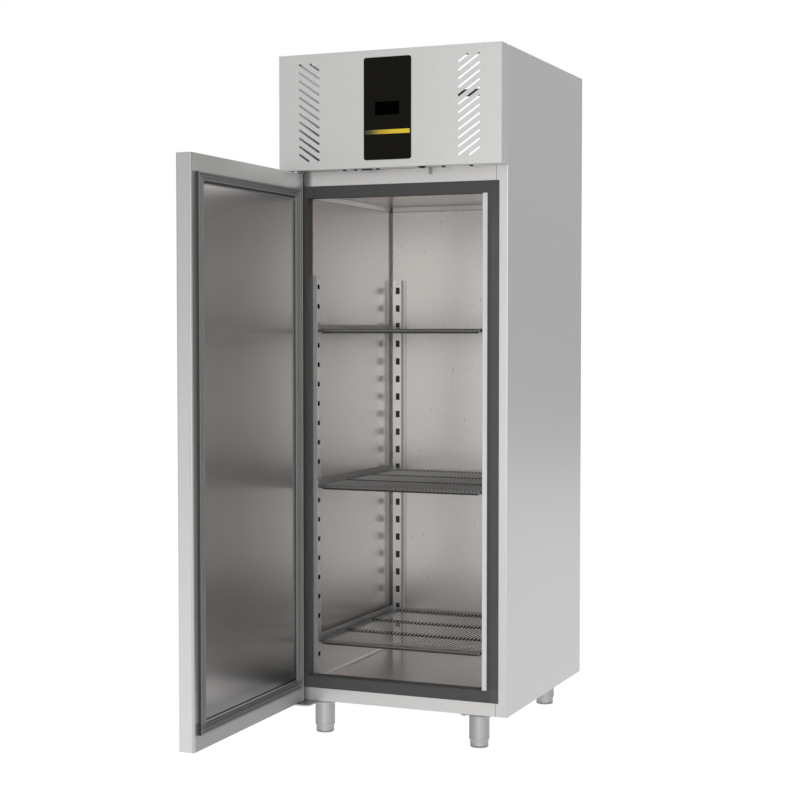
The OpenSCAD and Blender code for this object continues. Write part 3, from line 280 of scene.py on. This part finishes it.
# Materials, with the helpers' arguments in their order.
# steel: name, colour, roughness, brushing, spread of the tone, metallic, spread of the roughness, grain.
# plastic: name, colour, roughness, scale and depth of the grain, spread of the tone, coat, shine.
mats = {
    "panel": steel("steel_panel", (0.680, 0.676, 0.662), 0.38, ACROSS, 0.03, 0.7),
    "side": steel("steel_side", (0.640, 0.640, 0.636), 0.34, UP, 0.03, 0.8),
    "rail": steel("steel_rail", (0.680, 0.670, 0.660), 0.36, ACROSS, 0.03, 0.7),
    "door": steel("steel_door", (0.640, 0.638, 0.632), 0.36, UP, 0.03, 0.7),
    "door_inner": steel("steel_door_inner", (0.64, 0.627, 0.617), 0.22, UP, 0.02, 0.85, 0.03, 0.02),
    "cell": steel("steel_cell", (0.700, 0.675, 0.655), 0.26, UP, 0.02, 0.70, 0.03, 0.02),
    "duct": steel("steel_duct", (0.690, 0.668, 0.650), 0.28, UP, 0.02, 0.70, 0.03, 0.02),
    "rack_front": steel("steel_rack_front", (0.80, 0.780, 0.762), 0.30, UP, 0.03, 0.75),
    "rack_rear": steel("steel_rack_rear", (0.70, 0.690, 0.678), 0.30, UP, 0.03, 0.75),
    "rivet": steel("steel_rivet", (0.70, 0.695, 0.685), 0.30),
    "runner": steel("steel_runner", (0.90, 0.895, 0.885), 0.34, FRONT_TO_BACK, 0.04, 0.35),
    "wire": steel("steel_wire", (0.255, 0.255, 0.252), 0.30, EVEN, 0.12),
    "foot": steel("steel_foot", (0.525, 0.525, 0.52), 0.34, UP),
    "zinc": steel("zinc_sheet", (0.52, 0.53, 0.54), 0.45, EVEN, 0.12),
    "hinge": steel("steel_hinge", (0.50, 0.50, 0.495), 0.36),
    "fins": steel("aluminium_fins", (0.66, 0.67, 0.68), 0.38, EVEN, 0.08),
    "copper": steel("copper_tube", (0.72, 0.36, 0.22), 0.30, EVEN, 0.14),
    "frame": plastic("frame_plastic", (0.066, 0.066, 0.066), 0.50, 700.0, 0.08, 0.05, 0.0, 0.3),
    "strip": plastic("light_cover", (0.76, 0.745, 0.745), 0.35, 300.0, 0.05, 0.02),
    "gasket": plastic("gasket_rubber", (0.235, 0.235, 0.230), 0.55, 600.0, 0.1, 0.06),
    "gap_shade": plastic("painted_shade_sheet", (0.045, 0.045, 0.045), 0.6, 600.0, 0.1, 0.08),
    "grip": plastic("grip_plastic", (0.045, 0.045, 0.048), 0.5),
    "bush": plastic("bush_plastic", (0.03, 0.03, 0.03), 0.45),
    "overlay": plastic("overlay_black", (0.0105, 0.0098, 0.0076), 0.55, 1400.0, 0.02, 0.04, 0.0, 0.02),
    "display": plastic("display_black", (0.0006, 0.0006, 0.0006), 0.5, 900.0, 0.01, 0.02, 0.0, 0.0),
    "case": plastic("case_black", (0.022, 0.022, 0.024), 0.5),
    "dark_rail": plastic("rail_paint", (0.03, 0.03, 0.03), 0.5),
    "shroud": plastic("shroud_paint", (0.16, 0.165, 0.17), 0.45),
    "shell": plastic("shell_paint", (0.012, 0.012, 0.013), 0.32, 260.0, 0.12, 0.2, 0.4),
    "motor": plastic("motor_paint", (0.02, 0.021, 0.023), 0.42),
    "rubber": plastic("mount_rubber", (0.02, 0.02, 0.02), 0.75, 500.0, 0.25),
    "pale": plastic("pale_plastic", (0.62, 0.62, 0.60), 0.5),
    "foam": plastic("foam_core", (0.72, 0.60, 0.34), 0.95, 420.0, 0.6, 0.12),
    "cable": plastic("cable_jacket", (0.02, 0.02, 0.022), 0.55),
}


def stripe_material(x0, x1):
    """A printed stripe that fades from black at its left end to yellow."""
    mat, nodes, links, shader = new_material("stripe_print")
    print_colour = ramp_through(nodes, links, along(nodes, links, "X", x0, x1, 0.0, 1.0), (
        (0.0, (0.012, 0.011, 0.006)), (1.0, (0.83, 0.62, 0.03)),
        (0.14, (0.10, 0.075, 0.012)), (0.34, (0.50, 0.36, 0.015)), (0.6, (0.76, 0.54, 0.02)),
    ))
    links.new(print_colour, shader.inputs["Base Color"])
    skin = noise(nodes, links, scale=900.0, stretch=EVEN, detail=2.0, rough=0.5, seed=6.0)
    links.new(remap(nodes, links, skin, 0.36, 0.46), shader.inputs["Roughness"])
    return mat


# Upper edge of the door's inner pan
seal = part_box("door_gasket")
pan_top = seal[1][2] - 0.032

# A tone has a box of (axis, centre, half) in metres, a colour, an amount and, if it fades in, where.
# Their colours, from deep to pale, mostly for painted shade, the palest for painted light:
PIT, SHADE, DULL, DIM, SOFT, HOLLOW, PAINTED_LIGHT = (grey(v) for v in (0.012, 0.02, 0.03, 0.045, 0.05, 0.09, 0.35))

# Painted shade in the hollows behind the racks' slots, inside the racks and on the walls behind them
rack_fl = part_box("rack_front_left")
rack_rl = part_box("rack_rear_left")
sheet = 0.0015
web_half = 0.014
wall_x = -rack_fl[0][0]
wall_y = rack_rl[1][1]
front_web_y = rack_fl[0][1] + web_half
rear_web_x = -middle(rack_rl, 0)
rack_mid, rack_half = middle(rack_fl, 2), (rack_fl[1][2] - rack_fl[0][2]) / 2
hollow_half = web_half - sheet + 0.0002
behind_half = web_half - 0.0002
rack_height = ("Z", rack_mid, rack_half - 0.001)
tone(mats["rack_front"], [("AX", wall_x - 0.0065, 0.0059), ("Y", front_web_y, hollow_half)])
tone(mats["rack_rear"], [("AX", rear_web_x, hollow_half), ("Y", wall_y - 0.0065, 0.0059)], HOLLOW)
tone(mats["cell"], [("AX", wall_x, 0.0004), ("Y", front_web_y, behind_half), rack_height])
tone(mats["duct"], [("AX", rear_web_x, behind_half), ("Y", wall_y, 0.0004), rack_height], HOLLOW)

# Shade lines: at the bend of the rear racks and beside their flange, and at the ceiling's fold
line_half = 0.0011
fold_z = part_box("air_duct_panel")[1][2] - 0.015
tone(mats["rack_rear"], [("AX", rear_web_x - web_half + 0.0010, line_half)], DIM, 0.5)
tone(mats["duct"], [("AX", rear_web_x - web_half - 0.0100, line_half), ("Z", rack_mid, rack_half)], DIM, 0.5)
tone(mats["duct"], [("Z", fold_z, 0.0014)], DIM, 0.5)
tone(mats["cell"], [("Z", fold_z, 0.0014)], DIM, 0.4)
tone(mats["cell"], [("Z", fold_z + 0.0075, 0.0072)], DIM, 0.14)

# A soft shade on the walls under the lower shelf
low_wall, low_fade = [("Z", 0.355, 0.085)], ("Z", 0.44, 0.30)
tone(mats["cell"], low_wall, DIM, 0.34, low_fade)
tone(mats["duct"], low_wall, DIM, 0.24, low_fade)

# The rails: seams at their ends, the shade under the panel's catch, and the open door's shade at the left
tone(mats["rail"], [("AX", 0.3143, 0.0009)], DIM, 0.7)
tone(mats["rail"], [("X", 0.1110, 0.0058), ("Z", 1.6855, 0.0105)], DIM, 0.5)
tone(mats["rail"], [("X", -0.309, 0.041), ("Z", 1.66, 0.05)], SOFT, 0.72, ("X", -0.268, -0.282))
tone(mats["rail"], [("X", -0.315, 0.041), ("Z", 0.12, 0.05)], SOFT, 0.30, ("X", -0.276, -0.290))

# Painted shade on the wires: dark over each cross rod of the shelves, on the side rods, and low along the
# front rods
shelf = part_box("shelf_middle")
tone(mats["wire"], [("AX", shelf[1][0] - 0.0035, 0.0040)], PIT, 0.75)
rod_first, rod_last = shelf[0][1] + 0.0061, shelf[1][1] - 0.0035
for k, amount in enumerate((0.2, 0.92, 0.92, 0.92)):
    tone(mats["wire"], [("Y", rod_first + (rod_last - rod_first) * k / 3, 0.012)], grey(0.006), amount)
for name in ("shelf_upper", "shelf_middle", "shelf_lower"):
    tone(mats["wire"], [("Y", rod_first, 0.010), ("Z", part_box(name)[0][2] + 0.0025, 0.0030)], PIT, 0.7)

# Painted light and shade: slow changes of tone over the large faces, lighter or darker along one axis
for name, axis, start, end, low, high in (
    ("panel", "X", -0.35, 0.35, 0.985, 1.055),
    ("side", "Z", 1.0, 2.0, 1.0, 1.08),
    ("door", "Z", 1.70, 0.20, 0.87, 1.17),
    ("cell", "Z", 0.25, 0.85, 1.16, 1.02),
    ("duct", "Z", 0.40, 0.70, 1.08, 0.91),
    ("strip", "Z", 1.55, 0.70, 0.97, 1.10),
):
    grade(mats[name], axis, start, end, low, high)

# Painted light over the dark frame: right jamb, left jamb and sill
tone(mats["frame"], [("X", 0.33, 0.03), ("Z", 0.84, 0.80)], PAINTED_LIGHT, 0.085, ("Z", 1.64, 1.50))
tone(mats["frame"], [("X", -0.30, 0.03), ("Z", 0.84, 0.80)], PAINTED_LIGHT, 0.03)
tone(mats["frame"], [("Z", 0.15, 0.03)], PAINTED_LIGHT, 0.065)

# Painted light and shade on the feet by the way each face turns: dark at one edge, brightest near the middle;
# painted shade at the rim and under the rail
turned(mats["foot"], (0.9226, 0.3857, 0.0), (
    (0.0, 0.46), (1.0, 0.90),
    (0.09, 0.64), (0.25, 0.78), (0.45, 0.95), (0.65, 0.91), (0.9985, 0.661),
))
tone(mats["foot"], [("Z", 0.001, 0.0052)], DULL, 0.42)
tone(mats["foot"], [("Z", 0.097, 0.0045)], DULL, 0.40)

# Painted light and shade: the runners are bright on their upper side and dull below
turned(mats["runner"], (0.0, 0.0, 1.0), ((0.0, 0.45), (1.0, 0.95), (0.6, 0.48), (0.9985, 0.998)))

# Painted shade on the door: dark at the foot of its inner side with a dark line there, on its bottom border,
# on the border beside the gasket and on its rounded free edge
tone(mats["door_inner"], [("Z", 0.20, 0.12)], SHADE, 0.66, ("Z", 0.325, 0.205))
tone(mats["door_inner"], [("Z", 0.1757, 0.0022)], amount=0.7)
tone(mats["door"], [("X", -0.290, 0.012), ("Y", -0.72, 0.3425), ("Z", 0.12, 0.0575)], SHADE, 0.48)
tone(mats["door"], [("X", -0.286, 0.004), ("Y", -1.0535, 0.0110), ("Z", 0.892, 0.749)], SHADE, 0.44)
tone(mats["door"], [("X", -0.2865, 0.0036), ("Y", -1.0680, 0.0036)], SHADE, 0.27)
# A painted highlight along the door's rounded edge at the hinge side
tone(mats["door"], [("X", -0.2975, 0.0045), ("Y", -0.3800, 0.0050)], (0.90, 0.90, 0.89), 0.65)
# Painted shade lines on the gasket: along its outer side at the free edge, and across its lower bar
tone(mats["gasket"], [("Y", -1.0434, 0.0010)], DULL, 0.8)
tone(mats["gasket"], [("Z", 0.1640, 0.0075)], DULL, 0.3)
# The painted-shade strip is paler at the lower edge of its top part
tone(mats["gap_shade"], [("Z", pan_top - 0.0030, 0.0032)], (0.26, 0.25, 0.245))

# The material of each CAD node
dressed = {
    "side": ("side_panel_left", "side_panel_right", "evaporator_housing"),
    "rail": ("top_rail", "bottom_rail"),
    "zinc": ("rear_panel", "base_panel", "top_deck", "panel_hinges"),
    "foam": ("insulation", "door_foam"),
    "cell": ("cell_liner", "duct_stays"),
    "duct": ("air_duct_panel",),
    "frame": ("breaker_frame",),
    "strip": ("light_strip",),
    "dark_rail": ("rear_cross_rail",),
    "rack_front": ("rack_front_left", "rack_front_right"),
    "rack_rear": ("rack_rear_left", "rack_rear_right"),
    "runner": tuple(
        "runner_" + level + "_" + side for level in ("upper", "middle", "lower") for side in ("left", "right")
    ),
    "wire": ("shelf_upper", "shelf_middle", "shelf_lower"),
    "hinge": ("upper_hinge", "lower_hinge"),
    "foot": ("foot_sleeves", "foot_front_left", "foot_front_right", "foot_rear_left", "foot_rear_right"),
    "door": ("door_skin_panel",),
    "door_inner": ("door_inner_panel",),
    "gasket": ("door_gasket",),
    "grip": ("door_grip",),
    "bush": ("door_bushes",),
    "panel": ("service_panel",),
    "overlay": ("control_overlay",),
    "display": ("display_window",),
    "case": ("controller", "evaporator_fan", "condensate_tray", "power_inlet"),
    "pale": ("evaporator_fan_plate", "electrical_box"),
    "fins": ("condenser", "condenser_fan", "evaporator_coil"),
    "shroud": ("fan_shroud",),
    "motor": ("condenser_fan_motor",),
    "shell": ("compressor",),
    "rubber": ("compressor_mounts",),
    "copper": ("filter_drier", "pipework"),
}
for mat_name, node_names in dressed.items():
    for node_name in node_names:
        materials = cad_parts[node_name].data.materials
        materials.clear()
        materials.append(mats[mat_name])


# Piece helpers
def finish_piece(name, bm, mat, body, smooth=True, bevel=0.0):
    mesh = bpy.data.meshes.new(name)
    bmesh.ops.recalc_face_normals(bm, faces=bm.faces)
    bm.to_mesh(mesh)
    bm.free()
    obj = bpy.data.objects.new(name, mesh)
    bpy.context.collection.objects.link(obj)
    mesh.materials.append(mat)
    if smooth:
        for poly in mesh.polygons:
            poly.use_smooth = True
        mesh.set_sharp_from_angle(angle=math.radians(35))
    if bevel:
        mod = obj.modifiers.new("edge", "BEVEL")
        mod.width = bevel
        mod.segments = 2
        mod.limit_method = "ANGLE"
    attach(obj, body)
    return obj


def bridge(bm, low, high):
    """Faces between two rings with the same number of points."""
    count = len(low)
    for k in range(count):
        m = (k + 1) % count
        bm.faces.new((low[k], low[m], high[m], high[k]))


def around(count):
    return [2 * math.pi * k / count for k in range(count)]


def add_lathe(bm, profile, at, axis, segments=24):
    """A turned form: profile is (radius, height) pairs up the axis, and ends in a point with radius 0."""
    turn = Vector((0, 0, 1)).rotation_difference(Vector(axis)).to_matrix()
    rings = [
        [
            bm.verts.new(Vector(at) + turn @ Vector((radius * math.cos(a), radius * math.sin(a), height)))
            for a in (around(segments) if radius else [0.0])
        ]
        for radius, height in profile
    ]
    for low, high in zip(rings[:-1], rings[1:-1]):
        bridge(bm, low, high)
    last, point = rings[-2], rings[-1][0]
    for k in range(segments):
        bm.faces.new((last[k], last[(k + 1) % segments], point))


def add_tube(bm, points, radius, sides=10, closed=False):
    """A tube of round section along points."""
    points = [Vector(p) for p in points]
    count = len(points)
    rings = []
    normal = None
    for i, point in enumerate(points):
        if closed:
            tangent = (points[(i + 1) % count] - points[i - 1]).normalized()
        else:
            tangent = (points[min(i + 1, count - 1)] - points[max(i - 1, 0)]).normalized()
        if normal is None:
            helper = Vector((0, 0, 1)) if abs(tangent.z) < 0.9 else Vector((1, 0, 0))
            normal = tangent.cross(helper).normalized()
        else:
            normal = (normal - tangent * normal.dot(tangent)).normalized()
        side = tangent.cross(normal)
        rings.append([
            bm.verts.new(point + radius * (math.cos(a) * normal + math.sin(a) * side)) for a in around(sides)
        ])
    for low, high in zip(rings, rings[1:]):
        bridge(bm, low, high)
    if closed:
        bridge(bm, rings[-1], rings[0])
    else:
        bm.faces.new(list(reversed(rings[0])))
        bm.faces.new(rings[-1])


def add_block(bm, low, high):
    size = Vector(high) - Vector(low)
    centre = (Vector(high) + Vector(low)) / 2
    for v in bmesh.ops.create_cube(bm, size=1.0)["verts"]:
        v.co = v.co * size + centre


def rounded_path(corners, radius):
    """Points along a broken line with its corners rounded, in six steps each."""
    steps = 6
    corners = [Vector(c) for c in corners]
    path = [corners[0]]
    for before, corner, after in zip(corners, corners[1:], corners[2:]):
        u = (before - corner).normalized()
        v = (after - corner).normalized()
        r = min(radius, (before - corner).length * 0.5, (after - corner).length * 0.5)
        a, b = corner + u * r, corner + v * r
        for k in range(steps + 1):
            t = k / steps
            path.append((1 - t) ** 2 * a + 2 * t * (1 - t) * corner + t ** 2 * b)
    path.append(corners[-1])
    return path


# Heads of fixings: (radius, height) pairs in parts of the head's radius
PAN_HEAD = ((1.0, 0.0), (1.0, 0.22), (0.86, 0.52), (0.6, 0.68), (0.34, 0.74), (0.3, 0.30), (0.0, 0.30))
HEX_HEAD = ((1.18, 0.0), (1.18, 0.12), (0.9, 0.14), (0.9, 0.7), (0.8, 0.8), (0.0, 0.8))
RIVET = ((1.0, 0.0), (0.94, 0.22), (0.72, 0.42), (0.36, 0.52), (0.32, 0.34), (0.0, 0.34))


def fixings(name, places, axis, radius, mat, body, kind=PAN_HEAD, sides=16):
    """Screw or rivet heads of one kind on one face, as one piece."""
    bm = bmesh.new()
    for place in places:
        add_lathe(bm, [(r * radius, h * radius) for r, h in kind], place, axis, sides)
    finish_piece(name, bm, mats[mat], body)


# Door gasket: a ribbed extrusion mitred at its corners, and a dark strip at its inner edge that is painted
# shade.
# A point of the open door is s across it from the middle, h above its inner face, and z high.
PIVOT = (-0.320, -0.4035)
OPEN = math.radians(89)
INNER = 0.025  # from the hinge's axis to the door's inner face


def on_door(s, h, z):
    a, b = s - PIVOT[0], INNER + h
    return Vector((
        PIVOT[0] + a * math.cos(OPEN) + b * math.sin(OPEN),
        PIVOT[1] - a * math.sin(OPEN) + b * math.cos(OPEN),
        z,
    ))


def door_ring(bm, h, corners):
    return [bm.verts.new(on_door(s, h, z)) for s, z in corners]


seal_lo, seal_hi = seal[0][2], seal[1][2] - 0.004
seal_s = 0.320
SIDE_W, TOP_W, LOW_W = 0.032, 0.022, 0.026
MM = 0.001
# The gasket's section: parts of the width from the outer edge, and heights in millimetres
PROFILE = (
    (0.0, 0.0), (0.0, 6.6), (0.03, 7.8), (0.08, 8.4), (0.17, 8.4), (0.22, 7.9), (0.245, 6.4), (0.26, 3.2),
    (0.33, 3.2), (0.345, 5.6), (0.37, 6.4), (0.42, 6.6), (0.47, 6.4), (0.495, 5.6), (0.51, 3.2),
    (0.58, 3.2), (0.595, 5.6), (0.62, 6.4), (0.67, 6.6), (0.71, 6.2), (0.73, 5.2), (0.745, 3.2),
    (0.80, 3.2), (0.815, 5.6), (0.84, 6.4), (0.90, 6.8), (0.96, 6.4), (0.99, 5.4), (1.0, 0.0),
)
bm = bmesh.new()
rings = []
for t, h in PROFILE:
    s, low, high = seal_s - t * SIDE_W, seal_lo + t * LOW_W, seal_hi - t * TOP_W
    rings.append(door_ring(bm, h * MM, ((-s, low), (s, low), (s, high), (-s, high))))
for outer, inner in zip(rings, rings[1:]):
    bridge(bm, outer, inner)
bridge(bm, rings[-1], rings[0])
profile = finish_piece("door_gasket_profile", bm, mats["gasket"], "door")
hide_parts("door_gasket")

# The dark strip is painted shade: a thin dark sheet over the gap at the gasket's inner edge, along the top
# and the hinge side
strip_w = 0.0022
pan_s, pan_hi = seal_s - SIDE_W - strip_w, pan_top - strip_w
edge_s, edge_lo, edge_hi = seal_s - SIDE_W + 0.0005, seal_lo + LOW_W, seal_hi - TOP_W + 0.0005
bm = bmesh.new()
for corners in (
    ((-edge_s, edge_hi), (edge_s, edge_hi), (pan_s, pan_hi), (-pan_s, pan_hi)),
    ((-edge_s, edge_lo), (-edge_s, edge_hi), (-pan_s, pan_hi), (-pan_s, edge_lo)),
):
    low_ring, high_ring = door_ring(bm, -0.0012, corners), door_ring(bm, 0.0008, corners)
    bm.faces.new(low_ring)
    bm.faces.new(high_ring)
    bridge(bm, low_ring, high_ring)
finish_piece("door_gasket_shade_sheet", bm, mats["gap_shade"], "door", False)

# Control overlay: the printed stripe, left bare of words
overlay_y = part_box("control_overlay")[0][1]
stripe_x, stripe_z, stripe_half = 0.0705, 1.7972, 0.0062
bm = bmesh.new()
add_block(
    bm,
    (-stripe_x, overlay_y - 0.0004, stripe_z - stripe_half),
    (stripe_x, overlay_y + 0.0002, stripe_z + stripe_half),
)
finish_piece("overlay_stripe", bm, stripe_material(-stripe_x, stripe_x), "service_flap", False)

# Feet: fixing screws through each mounting plate
foot_axes = [
    (middle(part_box(name), 0), middle(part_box(name), 1))
    for name in ("foot_front_left", "foot_front_right", "foot_rear_left", "foot_rear_right")
]
plate_under = UNDER - 0.004
fixings(
    "foot_plate_screws",
    [(x + dx, y + dy, plate_under) for x, y in foot_axes for dx in (-0.038, 0.038) for dy in (-0.028, 0.032)],
    (0, 0, -1), 0.0055, "zinc", "cabinet", HEX_HEAD, 6,
)

# Hinges
low_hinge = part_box("lower_hinge")
up_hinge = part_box("upper_hinge")
fixings(
    "lower_hinge_screws",
    [(low_hinge[0][0] + 0.010, FRONT + dy, low_hinge[0][2]) for dy in (0.022, 0.045, 0.068)],
    (0, 0, -1), 0.0048, "hinge", "cabinet", HEX_HEAD, 6,
)
fixings(
    "upper_hinge_screws",
    [(up_hinge[0][0] + dx, FRONT - 0.002, up_hinge[0][2] + 0.012) for dx in (0.010, 0.023, 0.036)],
    (0, -1, 0), 0.0030, "hinge", "cabinet",
)

# Cell: rivets of the racks
rivet_z = (rack_fl[1][2] - 0.010, rack_fl[0][2] + 0.012)
rear_rivet_z = (rack_rl[1][2] - 0.010, rack_rl[0][2] + 0.012)
for side, word in ((-1, "left"), (1, "right")):
    fixings(
        "rack_front_rivets_" + word,
        [(side * abs(rack_fl[1][0]), rack_fl[0][1] + 0.014, z) for z in rivet_z],
        (-side, 0, 0), 0.0032, "rivet", "cabinet", RIVET,
    )
    fixings(
        "rack_rear_rivets_" + word,
        [(side * rear_web_x, rack_rl[0][1], z) for z in rear_rivet_z],
        (0, -1, 0), 0.0032, "rivet", "cabinet", RIVET,
    )

# Back: rivets of the rear panel, and of the cross rail
fixings(
    "rear_panel_rivets",
    [(x, BACK, z) for x in (-0.318, 0.318) for z in [UNDER + 0.05 + 0.1865 * k for k in range(9)]]
    + [(x, BACK, z) for x in (-0.21, -0.07, 0.07, 0.21) for z in (UNDER + 0.02, DECK - 0.02)],
    (0, 1, 0), 0.0030, "rivet", "cabinet", RIVET,
)
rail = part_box("rear_cross_rail")
fixings(
    "cross_rail_screws",
    [(x, rail[0][1] + 0.0132, rail[1][2]) for x in (-0.33, 0.33)],
    (0, 0, 1), 0.0038, "zinc", "cabinet",
)

# Service panel: the catch under its lower return, and rubber buffers in the punched holes
lip_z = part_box("service_panel")[0][2]
bm = bmesh.new()
add_block(bm, (0.092, FLAP_Y + 0.007, lip_z - 0.0034), (0.114, FLAP_Y + 0.015, lip_z))
add_block(bm, (0.099, FLAP_Y + 0.007, lip_z - 0.0052), (0.107, FLAP_Y + 0.024, lip_z))
finish_piece("panel_catch", bm, mats["rubber"], "service_flap", True, 0.0005)
buffer_r = 0.0056
BUFFER = ((buffer_r, 0.0), (buffer_r, 0.0026), (buffer_r * 0.8, 0.0034), (0.0, 0.0036))
bm = bmesh.new()
for x in (-0.152, -0.116, -0.045, 0.162, 0.247):
    add_lathe(bm, BUFFER, (x, FLAP_Y + 0.034, lip_z), (0, 0, -1))
add_block(bm, (-0.096, FLAP_Y + 0.030, lip_z - 0.0032), (-0.063, FLAP_Y + 0.038, lip_z))
finish_piece("panel_buffers", bm, mats["rubber"], "service_flap", True, 0.0004)

# Condenser fan guard: rings and spokes of wire behind the shroud
fan_x, fan_z = -0.045, DECK + 0.008 + 0.125
guard_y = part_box("fan_shroud")[1][1] + 0.0012


def guard_point(radius, a, rise):
    return (fan_x + radius * math.cos(a), guard_y + rise, fan_z + radius * math.sin(a))


bm = bmesh.new()
for radius in (0.045, 0.058, 0.071, 0.084, 0.097, 0.110):
    add_tube(bm, [guard_point(radius, a, 0.0042) for a in around(48)], 0.0010, 6, True)
for k in range(6):
    a = math.pi * (k / 3 + 1 / 12)
    add_tube(bm, [guard_point(radius, a, 0.0060) for radius in (0.042, 0.080, 0.1195)], 0.0012, 6)
finish_piece("fan_guard", bm, mats["case"], "cabinet")


def cable(name, points, bend, radius):
    bm = bmesh.new()
    add_tube(bm, rounded_path(points, bend), radius)
    finish_piece(name, bm, mats["cable"], "cabinet")


# Wiring of the cooling unit, run along the deck
box_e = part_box("electrical_box")
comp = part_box("compressor")
motor_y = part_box("condenser_fan_motor")[1][1]
gland = Vector((box_e[1][0] - 0.042, box_e[1][1] - 0.001, DECK + 0.040))
lead_z = DECK + 0.0035
comp_y = comp[1][1] - 0.10
cable("compressor_cable", [
    gland, gland + Vector((0, 0.05, 0)), gland + Vector((0, 0.05, -0.0365)),
    (gland.x - 0.17, gland.y + 0.05, lead_z), (0.030, -0.02, lead_z), (0.030, 0.02, lead_z),
    (comp[1][0] + 0.02, comp_y, lead_z), (comp[1][0] + 0.02, comp_y, DECK + 0.075),
    (comp[1][0] - 0.008, comp_y, DECK + 0.085),
], 0.03, 0.0035)
fan_lead_z = DECK + 0.0032
cable("fan_cable", [
    gland + Vector((0, -0.002, 0.001)), gland + Vector((-0.004, 0.03, -0.004)),
    gland + Vector((-0.02, 0.035, -0.0365)),
    (gland.x - 0.13, motor_y + 0.03, fan_lead_z), (fan_x + 0.06, motor_y + 0.03, fan_lead_z),
    (fan_x + 0.010, motor_y + 0.022, DECK + 0.03), (fan_x + 0.008, motor_y + 0.006, fan_z - 0.012),
    (fan_x + 0.006, motor_y - 0.002, fan_z - 0.010),
], 0.025, 0.0028)

# Compressor: hold-down nuts
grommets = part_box("compressor_mounts")
nut_places = [
    (x, y, DECK + 0.025)
    for x in (grommets[0][0] + 0.014, grommets[1][0] - 0.014)
    for y in (grommets[0][1] + 0.014, grommets[1][1] - 0.014)
]
fixings("compressor_nuts", nut_places, (0, 0, 1), 0.0075, "zinc", "cabinet", HEX_HEAD, 6)

# Evaporator housing: the cover's seam strip and its screws
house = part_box("evaporator_housing")
cover = 0.0012
bm = bmesh.new()
add_block(
    bm,
    (house[0][0] - cover, house[0][1] - cover, house[1][2] - 0.030),
    (house[1][0], house[1][1] + cover, house[1][2] + cover),
)
finish_piece("evaporator_cover", bm, mats["side"], "cabinet", True, cover)
fixings(
    "evaporator_cover_screws",
    [(house[0][0] - cover, house[0][1] + d, house[1][2] - 0.015) for d in (0.03, 0.13, 0.24, 0.34)],
    (-1, 0, 0), 0.0036, "rivet", "cabinet",
)

# Electrical box: screws of its lid
fixings(
    "electrical_box_screws",
    [
        (x, y, box_e[1][2])
        for x in (box_e[0][0] + 0.010, box_e[1][0] - 0.010)
        for y in (box_e[0][1] + 0.010, box_e[1][1] - 0.028)
    ],
    (0, 0, 1), 0.0032, "zinc", "cabinet",
)


# Studio: a plain white floor, a white surround and soft lamps
def area_lamp(name, place, target, size, energy):
    data = bpy.data.lights.new(name, "AREA")
    data.shape = "RECTANGLE"
    data.size, data.size_y = size
    data.energy = energy
    lamp = bpy.data.objects.new(name, data)
    lamp.location = place
    lamp.rotation_euler = (Vector(target) - Vector(place)).to_track_quat("-Z", "Y").to_euler()
    bpy.context.collection.objects.link(lamp)


far = 9  # half the floor's side, in metres
bm = bmesh.new()
bm.faces.new([bm.verts.new((x, y, 0)) for x, y in ((-far, -far), (far, -far), (far, far), (-far, far))])
floor_mesh = bpy.data.meshes.new("studio_floor")
bm.to_mesh(floor_mesh)
bm.free()
floor = bpy.data.objects.new("studio_floor", floor_mesh)
bpy.context.collection.objects.link(floor)

# The floor is white where the camera or a reflection meets it, and keeps a little of the shadow there
mat = bpy.data.materials.new("studio_floor")
mat.use_nodes = True
nodes, links = mat.node_tree.nodes, mat.node_tree.links
nodes.clear()
out = nodes.new("ShaderNodeOutputMaterial")
diffuse = nodes.new("ShaderNodeBsdfDiffuse")
diffuse.inputs["Color"].default_value = (*grey(0.86), 1)
white = nodes.new("ShaderNodeEmission")
path = nodes.new("ShaderNodeLightPath").outputs
links.new(remap(nodes, links, path["Is Camera Ray"], 1.0, 1.08, 0.0, 1.0), white.inputs["Strength"])
seen = math_node(nodes, links, "MAXIMUM", path["Is Camera Ray"], path["Is Glossy Ray"])
mix = nodes.new("ShaderNodeMixShader")
links.new(math_node(nodes, links, "MULTIPLY", seen, 0.92), mix.inputs["Fac"])
links.new(diffuse.outputs[0], mix.inputs[1])
links.new(white.outputs[0], mix.inputs[2])
links.new(mix.outputs[0], out.inputs["Surface"])
floor_mesh.materials.append(mat)

# The surround is white to the camera, and lights the object with a level that depends on the direction
world = bpy.data.worlds.new("studio")
bpy.context.scene.world = world
world.use_nodes = True
nodes, links = world.node_tree.nodes, world.node_tree.links
nodes.clear()
out = nodes.new("ShaderNodeOutputWorld")
back = nodes.new("ShaderNodeBackground")
way = facing(nodes, links, nodes.new("ShaderNodeTexCoord").outputs["Generated"], (0.342, -0.940, 0.0))
sky = ramp_through(nodes, links, way, [
    (place, grey(level)) for place, level in (
        (0.0, 0.60), (1.0, 1.0), (0.5, 0.50), (0.75, 0.56), (0.83, 0.66), (0.89, 0.84),
    )
])
pick = nodes.new("ShaderNodeMix")
pick.data_type = "RGBA"
pick.inputs["B"].default_value = (1, 1, 1, 1)
links.new(nodes.new("ShaderNodeLightPath").outputs["Is Camera Ray"], pick.inputs["Factor"])
links.new(sky, pick.inputs["A"])
links.new(pick.outputs["Result"], back.inputs["Color"])
links.new(back.outputs[0], out.inputs["Surface"])

area_lamp("key", (1.6, -4.4, 2.6), (0, 0, 0.9), (2.6, 2.6), 22)
area_lamp("front", (0.7, -5.6, 0.8), (0, 0, 0.8), (3.4, 1.5), 24)
